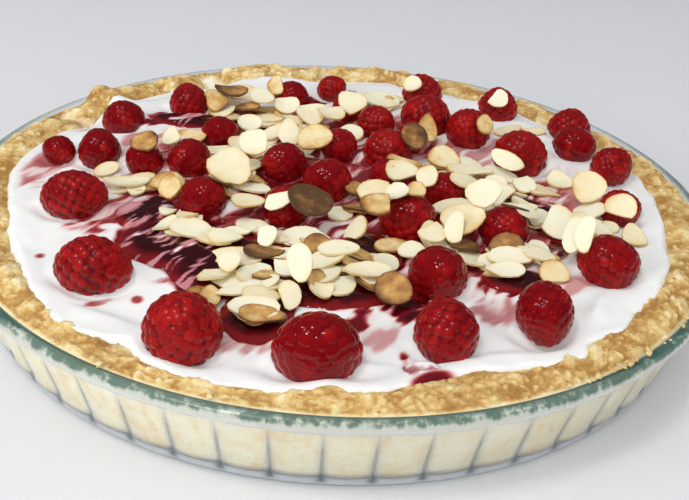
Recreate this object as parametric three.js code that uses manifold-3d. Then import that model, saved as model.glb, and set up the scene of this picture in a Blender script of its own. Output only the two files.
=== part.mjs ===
// Raspberry and cream tart with flaked almonds, in its own clear fluted glass flan dish.
// Millimetres, +Z up. The origin is the centre of the dish's underside, and the front
// of the tart faces -Y. A bearing is an angle round the tart: 0 is the front, 90 the right.

import * as THREE from 'three';
import { mergeVertices } from 'three/addons/utils/BufferGeometryUtils.js';
import Module from 'manifold-3d';

const wasm = await Module();
wasm.setup();

// ---- driving dimensions -------------------------------------------------------------

const DISH_SEGMENTS = 108;      // two facets for each flute
const FOOD_SEGMENTS = 72;       // facets round the crust and the cream
const GAP = 0.35;               // clearance between neighbouring pieces
const CRUST_SEED = 11;
const FLAKE_SEED = 29;

const FLANGE_RADIUS = 125;      // the dish is 250 mm over its flange
const DISH_HEIGHT = 29;
const FLANGE_THICKNESS = 4;
const FLANGE_WIDTH = 3.4;
const FOOT_RADIUS = 115;
const WALL_TOP_RADIUS = 121.8;  // outside of the wall, just under the flange
const GLASS = 3.3;              // wall thickness
const FLOOR_GLASS = 3.2;
const FLUTE_DEPTH = 1.3;
const FOOT_ROUND = 2;           // how high the eased foot of the wall reaches
const FLANGE_FILLET = 2;        // the wall ends this far under the flange
const EDGE_EASE = 1;            // eased outer edge of the flange
const INNER_SHOULDER = 3;       // below the flange the inside turns outwards from here

const CRUST_FLOOR = 4.8;        // baked base
const CRUST_WALL_TOP = 22;      // the dough follows the glass up to here
const CRUST_OUTER_EDGE = 120.5; // where the rim meets the glass
const CRUST_CREST = 113;        // radius of the rim's highest line
const CRUST_INNER_EDGE = 107;   // where the rim drops to the cream
const CRUST_INNER_FOOT = 100.5;
const OUTER_EDGE_HEIGHT = 29;
const SHOULDER_WIDTH = 3;       // from the outer edge in to the rim's shoulder
const SHOULDER_DROP = 1.3;      // below the crest
const INNER_DROP = 1.7;         // from the crest down to the inner edge
const CREST_HEIGHT = 31.4;
const CREST_LEAN = 0.9;         // the rim is this much higher at the back, lower at the front
const RIM_SHIFT = 1.8;          // and the rim's inside is this much further out at the front
const CRAG = 1.1;               // how far the broken dough strays from a smooth rim

const CREAM_LEVEL = 31.2;
const CREAM_DOME = 1;           // extra height in the middle
const CREAM_LEAN = 0.018;       // rise towards the back, mm for each mm
const CREAM_SHOULDER = 90;      // radius where the cream starts to fall to the crust
const CREAM_EDGE_FALL = 0.9;    // drop from there to the crust
const CREAM_SWELL = 0.7;        // height of its low waves
const CREAM_WAVES = [13, 17];   // their size along x and y

// Rings of the cream's surface: radius, and how many neighbouring facets share a corner.
const CREAM_RINGS = [[96, 2], [78, 3], [54, 6], [28, 9]];

const JAM_DEPTH = 2.6;
const JAM_PROUD = 0.8;          // how far the middle of a pool stands over the cream
const POOL_SEGMENTS = 10;
const POOL_PROFILE = [
  [0, -JAM_DEPTH],
  [0.88, -JAM_DEPTH],
  [1, 0],
  [0.7, 0.85 * JAM_PROUD],
  [0, JAM_PROUD],
];
const BASIN_TOP = 7;            // the cut for a pool reaches well over the cream
const BASIN_PROFILE = [
  [0, -JAM_DEPTH - GAP],
  [1, -JAM_DEPTH - GAP],
  [1.02, BASIN_TOP],
  [0, BASIN_TOP],
];

const BUMP = 0.045;             // raised drupelets, as a share of the berry's radius
const GROOVE = 0.05;
const TIP_TAPER = 0.2;          // a berry narrows by this share towards its tip
const STEM_TAPER = 0.06;
const FINE_BERRY_WIDTH = 17;    // berries this wide get the finer mesh
const SOCKET_SIDES = { fine: 8, plain: 6 };
// The open cone cut for a berry, in shares of the berry's half width and half height.
const SOCKET_PROFILE = [[0, -1], [0.7, -1], [1.65, 1.6], [0, 1.6]];

const FLAKE_THICKNESS = 1.2;
const FLAKE_SIDES = 7;
const FLAKE_LENGTH = [12, 17];
const FLAKE_WIDTH = [8, 10.5];
const FLAKE_PITCH = [-9, 9];    // degrees
const FLAKE_ROLL = [-7, 7];
const FLAKE_TAPER = 0.2;        // one end of a flake is wider than the other
const FLAKE_RISE = 0.35;        // middle of a flake above what it lies on
const FLAKE_SPACING = 8.5;
const FLAKE_ROOM = 0.65;        // kept free round a flake
const BERRY_REACH = 0.46;       // share of a berry's size that flakes stay out of
const FLAKE_TRIES = 40;

// Broken places in the crust's rim: bearing, change of height, how far the crest leans
// outwards, and half the width in degrees.
const RIM_FEATURES = [
  [-126, 4.2, 3, 3],
  [-116, -1.6, -2, 4],
  [-150, -2.4, 0, 4.5],
  [-172, -1, -2, 5],
  [163, -2.2, -2, 4],
  [150, -1.4, 0, 4],
  [118, -1.8, -1, 6],
  [0, 0.5, -2, 3.5],
  [21, 1.2, -3.5, 6],
  [44, 0.5, -2.5, 8],
  [64, 0.3, -2, 9],
  [-18, -0.3, 2, 14],
  [-45, -0.2, 1.5, 9],
  [-75, 0.4, -2.5, 9],
];

// Raspberries: x, y, how far the middle stands above the cream, width, length from
// hollow to tip, bearing of the tip, and its tilt above the level.
const RASPBERRIES = [
  [-38.5, -95, 4.8, 21, 19.5, 5, 55],
  [-3, -100, 3.2, 23.5, 20, 5, -20],
  [31, -89, 3.5, 17.5, 19.5, 10, -35],
  [58.5, -78, 5.2, 16, 18.5, 8, -40],
  [82.5, -44, 1.8, 18.5, 19, 80, 20],
  [-68, -65.5, 2.4, 18.5, 22.5, 82, 5],
  [-83, -23, 3.2, 16.5, 21, 98, 5],
  [30.5, -57, 2, 17.5, 18, 20, 40],
  [52.5, -28, 1.5, 15.5, 16.5, 60, 30],
  [93, -6, 1.6, 13.5, 14.5, 100, 10],
  [95, 22, 3.2, 14, 15.5, 120, 25],
  [85, 40.5, 0.9, 15.5, 16.5, 60, 20],
  [86, 58.5, 1, 16.5, 17, 150, 50],
  [60, 74.5, 0.8, 15.5, 16.5, 170, 55],
  [30.5, 84, 0.8, 16, 16.5, 200, 45],
  [-5, 79.5, 2.6, 10.5, 12, 90, 30],
  [-20.5, 70.5, 1.2, 13, 14, 250, 20],
  [-58.5, 59.5, 1, 15, 16, 210, 55],
  [-79.5, 41, 0.6, 14.5, 15.5, 120, 15],
  [-96, 11, 2.2, 10.5, 11.5, 270, 20],
  [-82.5, 12.5, 1.9, 14.5, 15.5, 200, 60],
  [63.5, 28, 2.1, 19.5, 19.5, 0, 60],
  [46, 46.5, 2.9, 16.5, 18, 330, 40],
  [31, 58, 1, 19, 19.5, 250, 25],
  [12.5, 48, 1.4, 14, 14.5, 60, 40],
  [2.5, 64, 0.8, 13.5, 14.5, 180, 35],
  [23, -24.5, 1.4, 18.5, 19, 30, 50],
  [-4, -2, 1.8, 16.5, 17, 280, 30],
  [-1, 24.5, 2.2, 13, 13.5, 320, 50],
  [16.5, 24.5, 1, 17, 17.5, 40, 35],
  [-19, 9, 2.1, 14.5, 16, 300, 20],
  [-16.5, -22.5, 1.9, 14.5, 15, 260, 30],
  [-42.5, -21, 1.9, 15.5, 16.5, 30, 45],
  [-51.5, 9, 1.4, 15, 17, 340, 30],
  [-66.5, 8, 1.2, 12.5, 13.5, 240, 15],
  [-43.5, 33.5, 1.2, 13, 14, 100, 10],
  [26, 40, 1.6, 11, 12, 0, 40],
  [16.5, 6, 0.8, 13, 14, 20, 25],
  [35.5, -4, 1.5, 13.5, 14, 90, 35],
];

// Jam pools: each is a few overlapping rounds of x, y and half widths along x and y.
const JAM_POOLS = {
  jam_middle: [[-47, -42, 19, 17], [-30, -54, 20, 17], [-60, -26, 9, 12],
    [0, -63, 22, 12], [-20, -79, 10, 14], [9, -44, 12, 13]],
  jam_right: [[58, -10, 16, 9], [44, -17, 9, 8], [72, -20, 9, 9]],
  jam_back: [[-52, 46, 19, 7]],
  jam_spot: [[54, -53, 10, 6]],
  jam_drop: [[25, -99.5, 5, 3.2]],
};

// Handfuls of flaked almonds lying on the cream and the jam: x, y, spread and count.
const HANDFULS = [
  [-19, -55, 15, 4], [10, -60, 14, 4], [-26, -72, 10, 2], [-32, -34, 14, 3],
  [44, 10, 13, 3], [58, -8, 14, 3], [36, -40, 12, 3], [78, -18, 10, 2],
  [54, -44, 10, 2], [15, -12, 10, 2], [-33, -4, 12, 3], [-62, -8, 9, 2],
  [-20, 30, 13, 3], [-43, 50, 12, 2], [-18, 52, 13, 3], [14, 68, 10, 2],
];

const FINISHES = {
  glass: { color: 0xcfe6e2, roughness: 0.04, metalness: 0, transparent: true, opacity: 0.35 },
  crust: { color: 0xd9ae66, roughness: 0.85, metalness: 0 },
  cream: { color: 0xf6f2ee, roughness: 0.35, metalness: 0 },
  jam: { color: 0x4a0610, roughness: 0.08, metalness: 0 },
  raspberry: { color: 0x9c0f1c, roughness: 0.3, metalness: 0 },
};

// ---- helpers ------------------------------------------------------------------------

const radians = THREE.MathUtils.degToRad;
const lerp = THREE.MathUtils.lerp;
const smoothstep = THREE.MathUtils.smoothstep;

// Seeded generator, so that the same tart comes out each time.
function seededRandom(seed) {
  let state = seed >>> 0;
  return () => {
    state = (state + 0x6d2b79f5) >>> 0;
    let mixed = Math.imul(state ^ (state >>> 15), state | 1);
    mixed ^= mixed + Math.imul(mixed ^ (mixed >>> 7), mixed | 61);
    return ((mixed ^ (mixed >>> 14)) >>> 0) / 4294967296;
  };
}

// Smallest difference between two bearings, in degrees.
function bearingBetween(a, b) {
  const turn = (((a - b) % 360) + 540) % 360;
  return Math.abs(turn - 180);
}

// Closed three.js geometry to a manifold solid: shared corners merged, slivers of no area
// at the axis dropped.
function toSolid(geometry) {
  const bare = geometry.clone();
  bare.deleteAttribute('normal');
  bare.deleteAttribute('uv');
  const merged = mergeVertices(bare, 1e-4);
  const corners = merged.index.array;
  const kept = [];
  for (let i = 0; i < corners.length; i += 3) {
    const [a, b, c] = [corners[i], corners[i + 1], corners[i + 2]];
    if (a !== b && b !== c && c !== a) {
      kept.push(a, b, c);
    }
  }
  const mesh = new wasm.Mesh({
    numProp: 3,
    vertProperties: new Float32Array(merged.attributes.position.array),
    triVerts: new Uint32Array(kept),
  });
  return new wasm.Manifold(mesh);
}

function toGeometry(solid) {
  const mesh = solid.getMesh();
  const geometry = new THREE.BufferGeometry();
  geometry.setAttribute('position', new THREE.BufferAttribute(mesh.vertProperties, 3));
  geometry.setIndex(new THREE.BufferAttribute(mesh.triVerts, 1));
  geometry.computeVertexNormals();
  return geometry;
}

// The largest piece of a solid: a cut can leave loose scraps, which are dropped.
function largestPiece(solid) {
  return solid.decompose().reduce((big, piece) => (piece.volume() > big.volume() ? piece : big));
}

// A turned body whose radius and height may change from one facet to the next.
// place(bearing, segment, row) gives [radius, height], and a bearing where it isn't the
// facet's own; the first and last rows are on the axis, and the rows run outwards along
// the underside and back over the top.
function turnedBody(rows, segments, place) {
  const profile = [];
  for (let row = 0; row < rows; row += 1) {
    const ends = row === 0 || row === rows - 1;
    profile.push(new THREE.Vector2(ends ? 0 : 1, row));
  }
  const geometry = new THREE.LatheGeometry(profile, segments);
  const position = geometry.attributes.position;
  for (let step = 0; step <= segments; step += 1) {
    const segment = step % segments;
    const bearing = (360 * segment) / segments;
    for (let row = 0; row < rows; row += 1) {
      const [radius, height, cornerBearing = bearing] = place(bearing, segment, row);
      const angle = radians(cornerBearing);
      const x = radius * Math.sin(angle);
      const y = -radius * Math.cos(angle);
      position.setXYZ(step * rows + row, x, y, height);
    }
  }
  return geometry;
}

// ---- glass dish ---------------------------------------------------------------------

const FLANGE_BOTTOM = DISH_HEIGHT - FLANGE_THICKNESS;
const WALL_TOP = FLANGE_BOTTOM - FLANGE_FILLET;
const WALL_SLOPE = (WALL_TOP_RADIUS - FOOT_RADIUS) / (WALL_TOP - FOOT_ROUND);

// Radius of the glass wall's inside at one height.
function innerWall(height) {
  return FOOT_RADIUS - GLASS + WALL_SLOPE * (height - FOOT_ROUND);
}

function dishGeometry() {
  const shoulder = FLANGE_BOTTOM - INNER_SHOULDER;
  // Radius, height, and the share of the flutes' depth that is cut there.
  const profile = [
    [0, 0, 0],
    [FOOT_RADIUS - EDGE_EASE, 0, 0.6],
    [FOOT_RADIUS, FOOT_ROUND, 1],
    [WALL_TOP_RADIUS, WALL_TOP, 1],
    [FLANGE_RADIUS - 0.4 * EDGE_EASE, FLANGE_BOTTOM, 0],
    [FLANGE_RADIUS, DISH_HEIGHT - EDGE_EASE, 0],
    [FLANGE_RADIUS - FLANGE_WIDTH, DISH_HEIGHT, 0],
    [innerWall(shoulder), shoulder, 0],
    [innerWall(FLOOR_GLASS) - EDGE_EASE, FLOOR_GLASS, 0],
    [0, FLOOR_GLASS, 0],
  ];
  return turnedBody(profile.length, DISH_SEGMENTS, (bearing, segment, row) => {
    const [radius, height, fluted] = profile[row];
    const valley = segment % 2 === 0 ? FLUTE_DEPTH * fluted : 0;
    return [radius - valley, height];
  });
}

// ---- crust --------------------------------------------------------------------------

const crustRandom = seededRandom(CRUST_SEED);
const crags = [];
for (let segment = 0; segment < FOOD_SEGMENTS; segment += 1) {
  const stray = () => CRAG * (2 * crustRandom() - 1);
  crags.push({
    outer: stray(),
    shoulder: stray(),
    crest: stray(),
    crestOut: stray(),
    inner: stray(),
  });
}

// The rim's lines at one bearing: outer edge, shoulder, crest and inner edge.
function rimAt(bearing, segment) {
  const crag = crags[segment];
  const angle = radians(bearing);
  const front = Math.cos(angle);
  let rise = 0.5 * Math.sin(7 * angle + 1) + 0.4 * Math.sin(13 * angle) - CREST_LEAN * front;
  let outward = 0.8 * Math.sin(5 * angle + 2) + 0.6 * Math.sin(11 * angle + 0.7);
  outward += RIM_SHIFT * front;
  for (const [centre, height, shift, half] of RIM_FEATURES) {
    const share = Math.exp(-((bearingBetween(bearing, centre) / half) ** 2));
    rise += height * share;
    outward += shift * share;
  }
  const crest = CREST_HEIGHT + rise + 0.7 * crag.crest;
  return {
    outer: [
      CRUST_OUTER_EDGE - 0.6 - Math.abs(crag.outer),
      OUTER_EDGE_HEIGHT + 0.4 * crag.outer,
    ],
    shoulder: [
      CRUST_OUTER_EDGE - SHOULDER_WIDTH + 0.6 * crag.shoulder,
      crest - SHOULDER_DROP + 0.4 * crag.shoulder,
    ],
    crest: [CRUST_CREST + outward + 0.6 * crag.crestOut, crest],
    inner: [
      CRUST_INNER_EDGE + 0.8 * outward + 0.9 * crag.inner,
      crest - INNER_DROP + 0.3 * crag.inner,
    ],
  };
}

// The crust, or with room set the space that the cream keeps clear of.
function crustGeometry(room) {
  const floor = FLOOR_GLASS + GAP;
  const top = floor + CRUST_FLOOR + room;
  return turnedBody(9, FOOD_SEGMENTS, (bearing, segment, row) => {
    const rim = rimAt(bearing, segment);
    return [
      [0, floor],
      [innerWall(floor) - EDGE_EASE - GAP, floor],
      [innerWall(CRUST_WALL_TOP) - 2 * GAP, CRUST_WALL_TOP],
      rim.outer,
      rim.shoulder,
      rim.crest,
      [rim.inner[0] - room, rim.inner[1]],
      [CRUST_INNER_FOOT - room, top],
      [0, top],
    ][row];
  });
}

// ---- cream --------------------------------------------------------------------------

function creamTop(x, y) {
  const radius = Math.hypot(x, y);
  const dome = CREAM_DOME * Math.max(0, 1 - (radius / CREAM_SHOULDER) ** 2);
  const fall = CREAM_EDGE_FALL * smoothstep(radius, CREAM_SHOULDER, CRUST_INNER_EDGE);
  const [waveX, waveY] = CREAM_WAVES;
  const swell = CREAM_SWELL * Math.sin(x / waveX + 1) * Math.sin(y / waveY - 0.6);
  return CREAM_LEVEL + dome + CREAM_LEAN * y - fall + swell;
}

// The filling before the crust is cut out of it: its edge starts inside the crust's wall.
function creamGeometry() {
  const overlap = 1.5;
  const bottom = FLOOR_GLASS + CRUST_FLOOR;
  return turnedBody(CREAM_RINGS.length + 4, FOOD_SEGMENTS, (bearing, segment, row) => {
    const [innerRadius, innerHeight] = rimAt(bearing, segment).inner;
    const edge = [innerRadius + overlap, 1];
    const rings = [[0, 1], [CRUST_INNER_FOOT + overlap, 1], edge, ...CREAM_RINGS, [0, 1]];
    const [ring, shared] = rings[row];
    if (row < 2) {
      return [ring, bottom];
    }
    const cornerBearing = bearing - (360 / FOOD_SEGMENTS) * (segment % shared);
    const angle = radians(cornerBearing);
    const height = creamTop(ring * Math.sin(angle), -ring * Math.cos(angle));
    return [ring, row === 2 ? Math.min(height, innerHeight - 0.6) : height, cornerBearing];
  });
}

// ---- raspberries --------------------------------------------------------------------

// Directions of the icosahedron's corners and face centres, where the drupelets stand.
const drupeletDirections = [];
{
  const base = new THREE.IcosahedronGeometry(1, 0).attributes.position;
  for (let i = 0; i < base.count; i += 3) {
    const corners = [0, 1, 2].map((k) => new THREE.Vector3().fromBufferAttribute(base, i + k));
    const centre = corners[0].clone().add(corners[1]).add(corners[2]).normalize();
    drupeletDirections.push(...corners, centre);
  }
}

// A blunt cone with round ends along +Z, its tip upwards, with raised drupelets.
function berryGeometry(width, length) {
  const detail = width >= FINE_BERRY_WIDTH ? 2 : 1;
  const ball = new THREE.IcosahedronGeometry(1, detail);
  ball.deleteAttribute('normal');
  ball.deleteAttribute('uv');
  const geometry = mergeVertices(ball, 1e-4);
  const position = geometry.attributes.position;
  const point = new THREE.Vector3();
  for (let i = 0; i < position.count; i += 1) {
    point.fromBufferAttribute(position, i);
    const raised = drupeletDirections.some((direction) => direction.distanceTo(point) < 0.02);
    const bulge = 1 + (raised ? BUMP : -GROOVE);
    const tipTaper = TIP_TAPER * Math.max(0, point.z) ** 1.5;
    const stemTaper = STEM_TAPER * Math.max(0, -point.z) ** 2;
    const across = (width / 2) * (1 - tipTaper - stemTaper) * bulge;
    position.setXYZ(i, point.x * across, point.y * across, point.z * (length / 2) * bulge);
  }
  geometry.computeVertexNormals();
  return geometry;
}

function placeBerry(object, [x, y, rise, , , bearing, tilt]) {
  const level = Math.cos(radians(tilt));
  const tip = new THREE.Vector3(
    level * Math.sin(radians(bearing)),
    -level * Math.cos(radians(bearing)),
    Math.sin(radians(tilt)),
  );
  object.quaternion.setFromUnitVectors(new THREE.Vector3(0, 0, 1), tip);
  object.position.set(x, y, creamTop(x, y) + rise);
}

// The room that the filling leaves for a berry: an open cone whose sides touch the
// berry's outline, grown by the gap, near the level of the cream.
function berrySocket(berry) {
  const [x, y, rise, width, length, bearing, tilt] = berry;
  const grown = (size) => (size / 2) * (1 + BUMP) + GAP;
  const [across, along] = [grown(width), grown(length)];
  const [level, upright] = [Math.cos(radians(tilt)), Math.sin(radians(tilt))];
  const reach = Math.hypot(along * level, across * upright);
  const depth = Math.hypot(along * upright, across * level);
  const sides = width >= FINE_BERRY_WIDTH ? SOCKET_SIDES.fine : SOCKET_SIDES.plain;
  const corner = 1 / Math.cos(Math.PI / sides);
  const rows = SOCKET_PROFILE;
  const geometry = turnedBody(rows.length, sides, (turn, segment, row) => rows[row]);
  geometry.scale(across * corner, reach * corner, depth);
  geometry.rotateZ(radians(bearing));
  geometry.translate(x, y, creamTop(x, y) + rise);
  return toSolid(geometry);
}

// ---- jam ----------------------------------------------------------------------------

// One round of a pool: a shallow lens, or the basin that the cream leaves for it.
function poolRound([x, y, halfX, halfY], basin) {
  const grow = basin ? GAP : 0;
  const rows = basin ? BASIN_PROFILE : POOL_PROFILE;
  const geometry = turnedBody(rows.length, POOL_SEGMENTS, (bearing, segment, row) => rows[row]);
  geometry.scale(halfX + grow, halfY + grow, 1);
  geometry.translate(x, y, creamTop(x, y));
  return toSolid(geometry);
}

function poolSolid(rounds, basin) {
  return rounds.map((round) => poolRound(round, basin)).reduce((sum, round) => sum.add(round));
}

// How deep inside one round a point lies: 1 at its middle, 0 on its edge.
function inRound([cx, cy, halfX, halfY], x, y) {
  return 1 - Math.hypot((x - cx) / halfX, (y - cy) / halfY);
}

function inPool(rounds, x, y) {
  return Math.max(...rounds.map((round) => inRound(round, x, y)));
}

function jamTop(rounds, x, y) {
  const slope = 0.3;
  const heights = rounds.map((round) => {
    const share = inRound(round, x, y);
    const level = creamTop(round[0], round[1]);
    return share > 0 ? level + JAM_PROUD * Math.min(1, share / slope) : 0;
  });
  return Math.max(...heights);
}

// ---- flaked almonds -----------------------------------------------------------------

function flakeOutline(length, width) {
  const corners = [];
  for (let side = 0; side < FLAKE_SIDES; side += 1) {
    const angle = (2 * Math.PI * side) / FLAKE_SIDES;
    const taper = 1 - FLAKE_TAPER * Math.cos(angle);
    corners.push([(length / 2) * Math.cos(angle), (width / 2) * taper * Math.sin(angle)]);
  }
  return corners;
}

function flakeSolid(flake, bedHeight) {
  const corners = flakeOutline(flake.length, flake.width);
  const outline = new THREE.Shape(corners.map(([x, y]) => new THREE.Vector2(x, y)));
  const geometry = new THREE.ExtrudeGeometry(outline, { depth: FLAKE_THICKNESS, bevelEnabled: false });
  geometry.translate(0, 0, -FLAKE_THICKNESS / 2);
  const pose = new THREE.Object3D();
  pose.rotation.set(flake.roll, flake.pitch, flake.yaw, 'ZYX');
  pose.position.set(flake.x, flake.y, bedHeight + FLAKE_RISE);
  pose.updateMatrix();
  return toSolid(geometry.applyMatrix4(pose.matrix));
}

// Corners of a flake as they lie, seen from above, with a little room round them.
function flakeCorners(flake, room) {
  const [c, s] = [Math.cos(flake.yaw), Math.sin(flake.yaw)];
  const corners = flakeOutline(flake.length + 2 * room, flake.width + 2 * room);
  return corners.map(([x, y]) => [flake.x + c * x - s * y, flake.y + s * x + c * y]);
}

function clearOfBerries(flake) {
  return RASPBERRIES.every(([x, y, , width, length]) => {
    const reach = BERRY_REACH * Math.max(width, length);
    return flakeCorners(flake, FLAKE_ROOM).every(([cx, cy]) => Math.hypot(cx - x, cy - y) > reach);
  });
}

// Which pool the whole flake lies on: a name, null for bare cream, undefined for neither.
function bedOf(flake) {
  const corners = [[flake.x, flake.y], ...flakeCorners(flake, FLAKE_ROOM)];
  const margin = 0.02;
  const depths = Object.entries(JAM_POOLS).map(([name, rounds]) => (
    [name, corners.map(([x, y]) => inPool(rounds, x, y))]
  ));
  const under = depths.find(([, shares]) => shares.every((share) => share > margin));
  if (under) {
    return under[0];
  }
  const onCream = depths.every(([, shares]) => shares.every((share) => share < -margin));
  return onCream ? null : undefined;
}

// Draws the flakes handful by handful, and keeps those that lie clear of berries, of
// pool edges and of each other.
function scatterFlakes() {
  const random = seededRandom(FLAKE_SEED);
  const between = ([low, high]) => lerp(low, high, random());
  const flakes = [];
  for (const [x, y, spread, count] of HANDFULS) {
    let laid = 0;
    for (let attempt = 0; attempt < FLAKE_TRIES && laid < count; attempt += 1) {
      const angle = 2 * Math.PI * random();
      const distance = spread * Math.sqrt(random());
      const flake = {
        x: x + distance * Math.cos(angle),
        y: y + distance * Math.sin(angle),
        length: between(FLAKE_LENGTH),
        width: between(FLAKE_WIDTH),
        yaw: 2 * Math.PI * random(),
        pitch: radians(between(FLAKE_PITCH)),
        roll: radians(between(FLAKE_ROLL)),
      };
      flake.bed = bedOf(flake);
      const apart = flakes.every(({ x: otherX, y: otherY }) => (
        Math.hypot(otherX - flake.x, otherY - flake.y) > FLAKE_SPACING
      ));
      if (flake.bed !== undefined && apart && clearOfBerries(flake)) {
        flakes.push(flake);
        laid += 1;
      }
    }
  }
  return flakes;
}

// ---- the tart -----------------------------------------------------------------------

const sockets = RASPBERRIES.map(berrySocket);
const flakes = scatterFlakes();
const berryRoom = sockets.reduce((sum, socket) => sum.add(socket));

function withFlakes(solid, bed, heightAt) {
  const lying = flakes.filter((flake) => flake.bed === bed);
  const solids = lying.map((flake) => flakeSolid(flake, heightAt(flake.x, flake.y)));
  return solids.reduce((sum, flake) => sum.add(flake), solid);
}

function jamSolid(name) {
  const rounds = JAM_POOLS[name];
  const pool = withFlakes(poolSolid(rounds, false), name, (x, y) => jamTop(rounds, x, y));
  return largestPiece(pool.subtract(berryRoom));
}

function crustSolid() {
  return largestPiece(toSolid(crustGeometry(0)).subtract(berryRoom));
}

function creamSolid() {
  const basins = Object.values(JAM_POOLS).map((rounds) => poolSolid(rounds, true));
  const basin = basins.reduce((sum, pool) => sum.add(pool));
  const crustRoom = toSolid(crustGeometry(GAP));
  const bare = toSolid(creamGeometry()).subtract(crustRoom).subtract(basin);
  return largestPiece(withFlakes(bare, null, creamTop).subtract(berryRoom));
}

function addPiece(group, name, geometry, finish) {
  const mesh = new THREE.Mesh(geometry, new THREE.MeshStandardMaterial(FINISHES[finish]));
  mesh.name = name;
  group.add(mesh);
  return mesh;
}

const tart = new THREE.Group();
addPiece(tart, 'glass_dish', toGeometry(toSolid(dishGeometry())), 'glass');

const filling = new THREE.Group();
addPiece(filling, 'crust', toGeometry(crustSolid()), 'crust');
addPiece(filling, 'cream', toGeometry(creamSolid()), 'cream');
for (const name of Object.keys(JAM_POOLS)) {
  addPiece(filling, name, toGeometry(jamSolid(name)), 'jam');
}
tart.add(filling);

const berries = new THREE.Group();
RASPBERRIES.forEach((berry, index) => {
  const [, , , width, length] = berry;
  const name = `raspberry_${String(index + 1).padStart(2, '0')}`;
  const mesh = addPiece(berries, name, berryGeometry(width, length), 'raspberry');
  placeBerry(mesh, berry);
});
tart.add(berries);

export default tart;
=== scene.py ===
# %% [markdown]
# # A raspberry and cream tart in a glass flan dish
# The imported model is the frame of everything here: it says where the dish, the crust, the
# cream, each pool of jam and each berry is. These cells dress it. All the pieces could be
# bought shapes moved into place, but a fixed frame is safer: a piece that is worked out
# from it can't drift, and it needs no fitting afterwards.

# %% Load the frame
import math

import bpy
import numpy as np
from mathutils import Matrix, Vector, noise


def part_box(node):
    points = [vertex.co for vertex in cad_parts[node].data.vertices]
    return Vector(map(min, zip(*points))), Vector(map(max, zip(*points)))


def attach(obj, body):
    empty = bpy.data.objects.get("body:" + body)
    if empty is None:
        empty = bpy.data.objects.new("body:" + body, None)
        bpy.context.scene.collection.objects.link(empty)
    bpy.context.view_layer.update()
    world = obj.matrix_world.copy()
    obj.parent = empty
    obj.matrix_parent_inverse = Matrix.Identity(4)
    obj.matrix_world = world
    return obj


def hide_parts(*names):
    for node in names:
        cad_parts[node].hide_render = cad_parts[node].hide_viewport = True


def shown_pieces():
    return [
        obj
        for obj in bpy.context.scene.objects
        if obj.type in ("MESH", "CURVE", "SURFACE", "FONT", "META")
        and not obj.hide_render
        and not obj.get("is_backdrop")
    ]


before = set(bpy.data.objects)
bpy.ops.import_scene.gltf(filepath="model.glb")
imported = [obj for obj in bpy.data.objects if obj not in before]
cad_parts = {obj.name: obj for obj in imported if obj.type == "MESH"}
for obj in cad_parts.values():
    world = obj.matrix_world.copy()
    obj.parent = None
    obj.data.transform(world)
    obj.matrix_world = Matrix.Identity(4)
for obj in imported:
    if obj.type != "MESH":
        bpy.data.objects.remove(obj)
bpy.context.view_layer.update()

MM = 0.001

# %% [markdown]
# ## Camera
# The tart is seen from the front and from above, with the camera turned a little on its
# axis, so the far rim climbs to the left. The place and the angles are set as a
# photographer would name them, and the matrix is worked out from those. Blender's own
# tracking constraint could aim the camera, but it can't hold the small roll.

# %% Camera
CAMERA_PLACE = Vector((0, -344.8, 199.0)) * MM
CAMERA_YAW = math.radians(0.55)       # to the right
CAMERA_PITCH = math.radians(29.08)    # below the horizon
CAMERA_ROLL = math.radians(3.72)
LENS = 59.82                          # mm, on a sensor 36 mm wide

forward = Vector((
    math.sin(CAMERA_YAW) * math.cos(CAMERA_PITCH),
    math.cos(CAMERA_YAW) * math.cos(CAMERA_PITCH),
    -math.sin(CAMERA_PITCH),
))
level_right = Vector((math.cos(CAMERA_YAW), -math.sin(CAMERA_YAW), 0))
right = Matrix.Rotation(-CAMERA_ROLL, 3, forward) @ level_right
up = right.cross(forward)

camera = bpy.data.objects.new("camera", bpy.data.cameras.new("camera"))
camera.data.lens = LENS
camera.data.sensor_width = 36
camera.data.clip_start = 0.01
camera.matrix_world = Matrix.Translation(CAMERA_PLACE) @ Matrix((right, up, -forward)).transposed().to_4x4()
bpy.context.scene.collection.objects.link(camera)
bpy.context.scene.camera = camera
print("camera looks along", [round(v, 3) for v in forward])

# %% [markdown]
# ## Tools for points and materials
# A primitive is added by an operator, and its points are then moved all at once as a
# table of x, y and z, which is much faster than a loop over the vertices. Materials are
# node trees. Wrapping a socket in a small class lets shader maths be written as plain
# Python, so that a mask reads as 1 - edge * 0.5 and not as a row of node calls.

# %% Points
def bare_selection():
    """Deselects everything: an operator acts on all that is selected, as loading left it."""
    bpy.ops.object.select_all(action="DESELECT")


def vectors_of(holder, what):
    """One row of x, y and z for each point, of its place (co) or its normal (vector)."""
    flat = np.empty(3 * len(holder), np.float32)
    holder.foreach_get(what, flat)
    return flat.reshape(-1, 3).astype(float)


def points_of(piece):
    return vectors_of(piece.data.vertices, "co") / MM


def move_points(piece, points):
    piece.data.vertices.foreach_set("co", (points * MM).astype(np.float32).ravel())
    piece.data.update()


def note(piece, name, values):
    """Writes one number for each point, which the piece's material can read by its name."""
    attribute = piece.data.attributes.get(name) or piece.data.attributes.new(name, "FLOAT", "POINT")
    attribute.data.foreach_set("value", np.asarray(values, np.float32))


def noted(piece, name):
    values = np.empty(len(piece.data.vertices), np.float32)
    piece.data.attributes[name].data.foreach_get("value", values)
    return values.astype(float)


def grain(points, size, seed=0, octaves=1):
    """Smooth noise from about -1 to 1 at each point, with lumps of the given size in mm."""
    shift = Vector((17.3 * seed, -9.1 * seed, 5.7 * seed))
    if octaves > 1:
        return np.array([noise.fractal(Vector(p) / size + shift, 0.9, 2.1, octaves) for p in points])
    return np.array([noise.noise(Vector(p) / size + shift) for p in points])


def ease(values, low, high):
    """0 below low, 1 above high, and a smooth step between them."""
    share = np.clip((np.asarray(values, float) - low) / (high - low), 0, 1)
    return share * share * (3 - 2 * share)


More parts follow.
